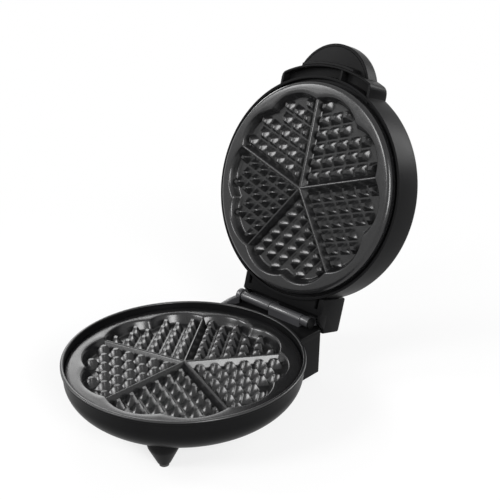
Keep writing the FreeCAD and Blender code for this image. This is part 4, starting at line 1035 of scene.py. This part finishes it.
def bracket(x0, x1, low_end, high_end):
    """Sloping plate under the block, from the skirt to behind the hinge line."""
    front, foot_z = skirt_back - bracket_sunk, skirt_low + bracket_inset
    corners = [(front, foot_z), (low_end, foot_z), (high_end, block_low + bracket_inset),
               (high_end, block_low + bracket_sunk), (front, block_low + bracket_sunk)]
    return side_plate(x0, x1, corners, bracket_edge)


block_corners = [(block_front, skirt_low), (skirt_back, skirt_low), (skirt_back, block_low),
                 (block_back, block_low), (block_back, block_top), (block_front, block_top)]
block_body = side_plate(-block_half, block_half, block_corners, block_ease, block_top_ease)
slots = [rounded_block((x0, block_front - overlap, skirt_low - overlap),
                       (x1, slot_back, slot_top), slot_edge)
         for x0, x1 in (mirrored(slot_x), slot_x)]
block_works = [carved(block_body, slots), bracket(*mirrored(bracket_x), *left_bracket_y),
               bracket(*bracket_x, *right_bracket_y)]
lid_block = add_piece("lid_block", swung(meshed(block_works)), housing_plastic, "lid")
knuckle_works = []
for x0, x1 in (left_x, right_x):
    knuckle_works.append(barrel(x0, x1, barrel_r, barrel_edge))
    knuckle_works.append(web(x0, x1, lid_web_half, hinge.z, block_low + overlap, lid_web_edge))
# The lid's knuckles also use the lighter grey of the painted highlight.
lid_knuckles = add_piece("lid_knuckles", swung(meshed(knuckle_works)), knuckle_highlight_plastic, "lid")


# Shoulder of the handle: a band moulded round the front of the lid shell, hollow from
# below, with a rib across its channel.
band_r = 115.0 * mm
band_corner = 6.0 * mm
band_half = 51.0 * mm
band_wall = 2.3 * mm
band_root = 100.0 * mm
band_low = rim_z + 1.5 * mm
band_low_edge = 0.8 * mm
band_top = lid_top_z - 9.5 * mm
band_top_edge = 3.5 * mm
channel_top = rim_z + 9.4 * mm
channel_edge = 0.5 * mm
rib_x = 17.0 * mm
rib_half = 1.0 * mm
rib_root = 102.0 * mm
rib_low = band_low + 0.6 * mm
buried_r = 101.0 * mm


def band_setback(x):
    """How far the rounded end stands back from the band's round front."""
    over = abs(x) - (band_half - band_corner)
    if over <= 0:
        return 0
    centre_y = sqrt((band_r - band_corner) ** 2 - (band_half - band_corner) ** 2)
    front_y = centre_y + sqrt(max(band_corner ** 2 - over ** 2, 0))
    return max(band_r - sqrt(x ** 2 + front_y ** 2), 0)


def band(section, x0, x1, steps):
    """Section in radius and height carried round the front between two upright planes."""
    loops = []
    for k in range(steps + 1):
        x = x0 + (x1 - x0) * k / steps
        radii = [p.x if p.x < buried_r else p.x - band_setback(x) for p in section]
        loops.append([(x, plate_axis.y - sqrt(r ** 2 - x ** 2), p.y)
                      for r, p in zip(radii, section)])
    return lofted(loops)


band_inside = band_half - band_wall
band_outside = [(band_r, band_low, band_low_edge), (band_r, band_top, band_top_edge),
                (band_root, band_top, 0)]
roof_section = eased(band_outside + [(band_root, channel_top, 0),
                                     (band_r - band_wall, channel_top, channel_edge),
                                     (band_r - band_wall, band_low, band_low_edge)])
end_section = eased(band_outside + [(band_root, band_low, 0)])
rib_section = eased([(band_r - overlap, rib_low, 0), (band_r - overlap, channel_top + overlap, 0),
                     (rib_root, channel_top + overlap, 0), (rib_root, rib_low, 0)])
band_works = [band(roof_section, -band_inside, band_inside, steps=48),
              band(end_section, -band_half, -band_inside, steps=8),
              band(end_section, band_inside, band_half, steps=8),
              band(rib_section, rib_x - rib_half, rib_x + rib_half, steps=1)]
handle_band = add_piece("handle_band", swung(meshed(band_works)), housing_plastic, "lid")


# Handle: a half-round shell of the same plastic screwed to the shoulder, its crown
# rounded for the fingers, with a flat cover let into its underside.
handle_r = 42.4 * mm
handle_axis = plate_axis + Vector((0, -93.2 * mm, 0))
handle_low = rim_z + 11.7 * mm
handle_low_edge = 0.8 * mm
handle_top = handle_low + 21.9 * mm
handle_crown = 12.2 * mm
handle_root_y = plate_axis.y - 104.0 * mm
grip_inner = handle_r - 2.5 * mm
grip_recess = handle_low + 2.4 * mm
cover_r = handle_r - 2.65 * mm
cover_top = handle_low + 2.3 * mm
cover_edge = 0.3 * mm
collar_inner = band_r + 0.1 * mm
collar_r = 117.5 * mm
collar_half = 29.0 * mm
collar_low = band_low + 0.1 * mm
collar_edge = 0.7 * mm
collar_top = handle_low + 2.0 * mm


def front_half(outline):
    """Outline turned about the handle's axis, cut off flat inside the shoulder."""
    work = turned(outline, handle_axis, segments=144)
    everything = work.verts[:] + work.edges[:] + work.faces[:]
    made = bmesh.ops.bisect_plane(work, geom=everything, plane_co=(0, handle_root_y, 0),
                                  plane_no=(0, 1, 0), clear_outer=True)
    rim = [item for item in made["geom_cut"] if isinstance(item, bmesh.types.BMEdge)]
    bmesh.ops.holes_fill(work, edges=rim)
    bmesh.ops.recalc_face_normals(work, faces=work.faces)
    return work


handle_outline = eased([(0, grip_recess, 0), (grip_inner, grip_recess, 0),
                        (grip_inner, handle_low, cover_edge),
                        (handle_r, handle_low, handle_low_edge),
                        (handle_r, handle_top, handle_crown), (0, handle_top, 0)], steps=10)
collar_section = eased([(collar_inner, collar_low, 0), (collar_r, collar_low, collar_edge),
                        (collar_r, collar_top, 0), (collar_inner, collar_top, 0)])
handle_works = [front_half(handle_outline),
                band(collar_section, -collar_half, collar_half, steps=32)]
handle = add_piece("handle_grip", swung(meshed(handle_works)), housing_plastic, "lid")
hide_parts("handle_shell")
cover_outline = eased([(0, handle_low, 0), (cover_r, handle_low, cover_edge),
                       (cover_r, cover_top, 0), (0, cover_top, 0)])
cover_mesh = swung(meshed([front_half(cover_outline)]))
handle_cover = add_piece("handle_underside", cover_mesh, housing_plastic, "lid")
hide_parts("handle_cover")


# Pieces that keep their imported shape: rubber pads and gland, steel pins, lamps, the disc
# and everything inside, each with the finish of what it is made of.
scratch_stretch = (60, 2400, 2400)
scratch_detail = 3
scratch_gloss = (-0.08, 0.12)
scratch_tint = 0.7
rubber_roughness = 0.72
weave_scale = 400
weave_distortion = 2
weave_tint = 0.6
weave_roughness = 0.8


def brushed_metal(name, colour, roughness):
    """Drawn or plated metal: fine scratches along the piece and dull patches."""
    material, surface = new_material(name, {"Metallic": 1.0})
    scratch = noise(surface, 1, scratch_detail, stretch=scratch_stretch)
    vary_tone(surface, scratch, colour, scratch_tint)
    vary_gloss(surface, scratch, roughness, scratch_gloss)
    return material


def woven_sheath(name, colour):
    """Braided glass sheath of the leads: small crossing ribs."""
    material, surface = new_material(name, {"Roughness": weave_roughness})
    place = add_node(surface.id_data, "ShaderNodeTexCoord").outputs["Object"]
    weave = add_node(surface.id_data, "ShaderNodeTexWave",
                     {"Vector": place, "Scale": weave_scale, "Distortion": weave_distortion})
    vary_tone(surface, weave.outputs["Fac"], colour, weave_tint)
    return material


zinc_steel = brushed_metal("zinc_plated_steel", (0.55, 0.55, 0.56, 1), roughness=0.32)
finishes = {
    "pad_rubber": moulded_plastic("pad_rubber", (0.02, 0.02, 0.02, 1), rubber_roughness),
    "gland_rubber": moulded_plastic("gland_rubber", (0.018, 0.018, 0.018, 1), rubber_roughness),
    "black_plastic": housing_plastic,
    "satin_disc": brushed_metal("dark_brushed_disc", (0.10, 0.10, 0.105, 1), roughness=0.42),
    "nonstick_aluminium": plate_coat,
    "element_steel": brushed_metal("heat_dulled_steel", (0.22, 0.2, 0.18, 1), roughness=0.5),
    "strap_steel": zinc_steel,
    "reflector_sheet": brushed_metal("reflector_aluminium", (0.78, 0.78, 0.79, 1), roughness=0.25),
    "fuse_brass": brushed_metal("plain_brass", (0.7, 0.52, 0.24, 1), roughness=0.35),
    "pale_plastic": moulded_plastic("pale_heatproof_plastic", (0.6, 0.58, 0.52, 1), roughness=0.5),
    "lead_sheath": woven_sheath("glass_braid", (0.6, 0.58, 0.54, 1)),
    "screw_steel": zinc_steel,
    "lens_plastic": moulded_plastic("red_lens_plastic", (0.35, 0.02, 0.012, 1), roughness=0.15),
}
slots_of_nodes = {row["node"]: row["material_slot"] for row in frame["record"]["subparts"]}
for name, node in frame["nodes"].items():
    node.data.materials.clear()
    node.data.materials.append(finishes[slots_of_nodes[name]])
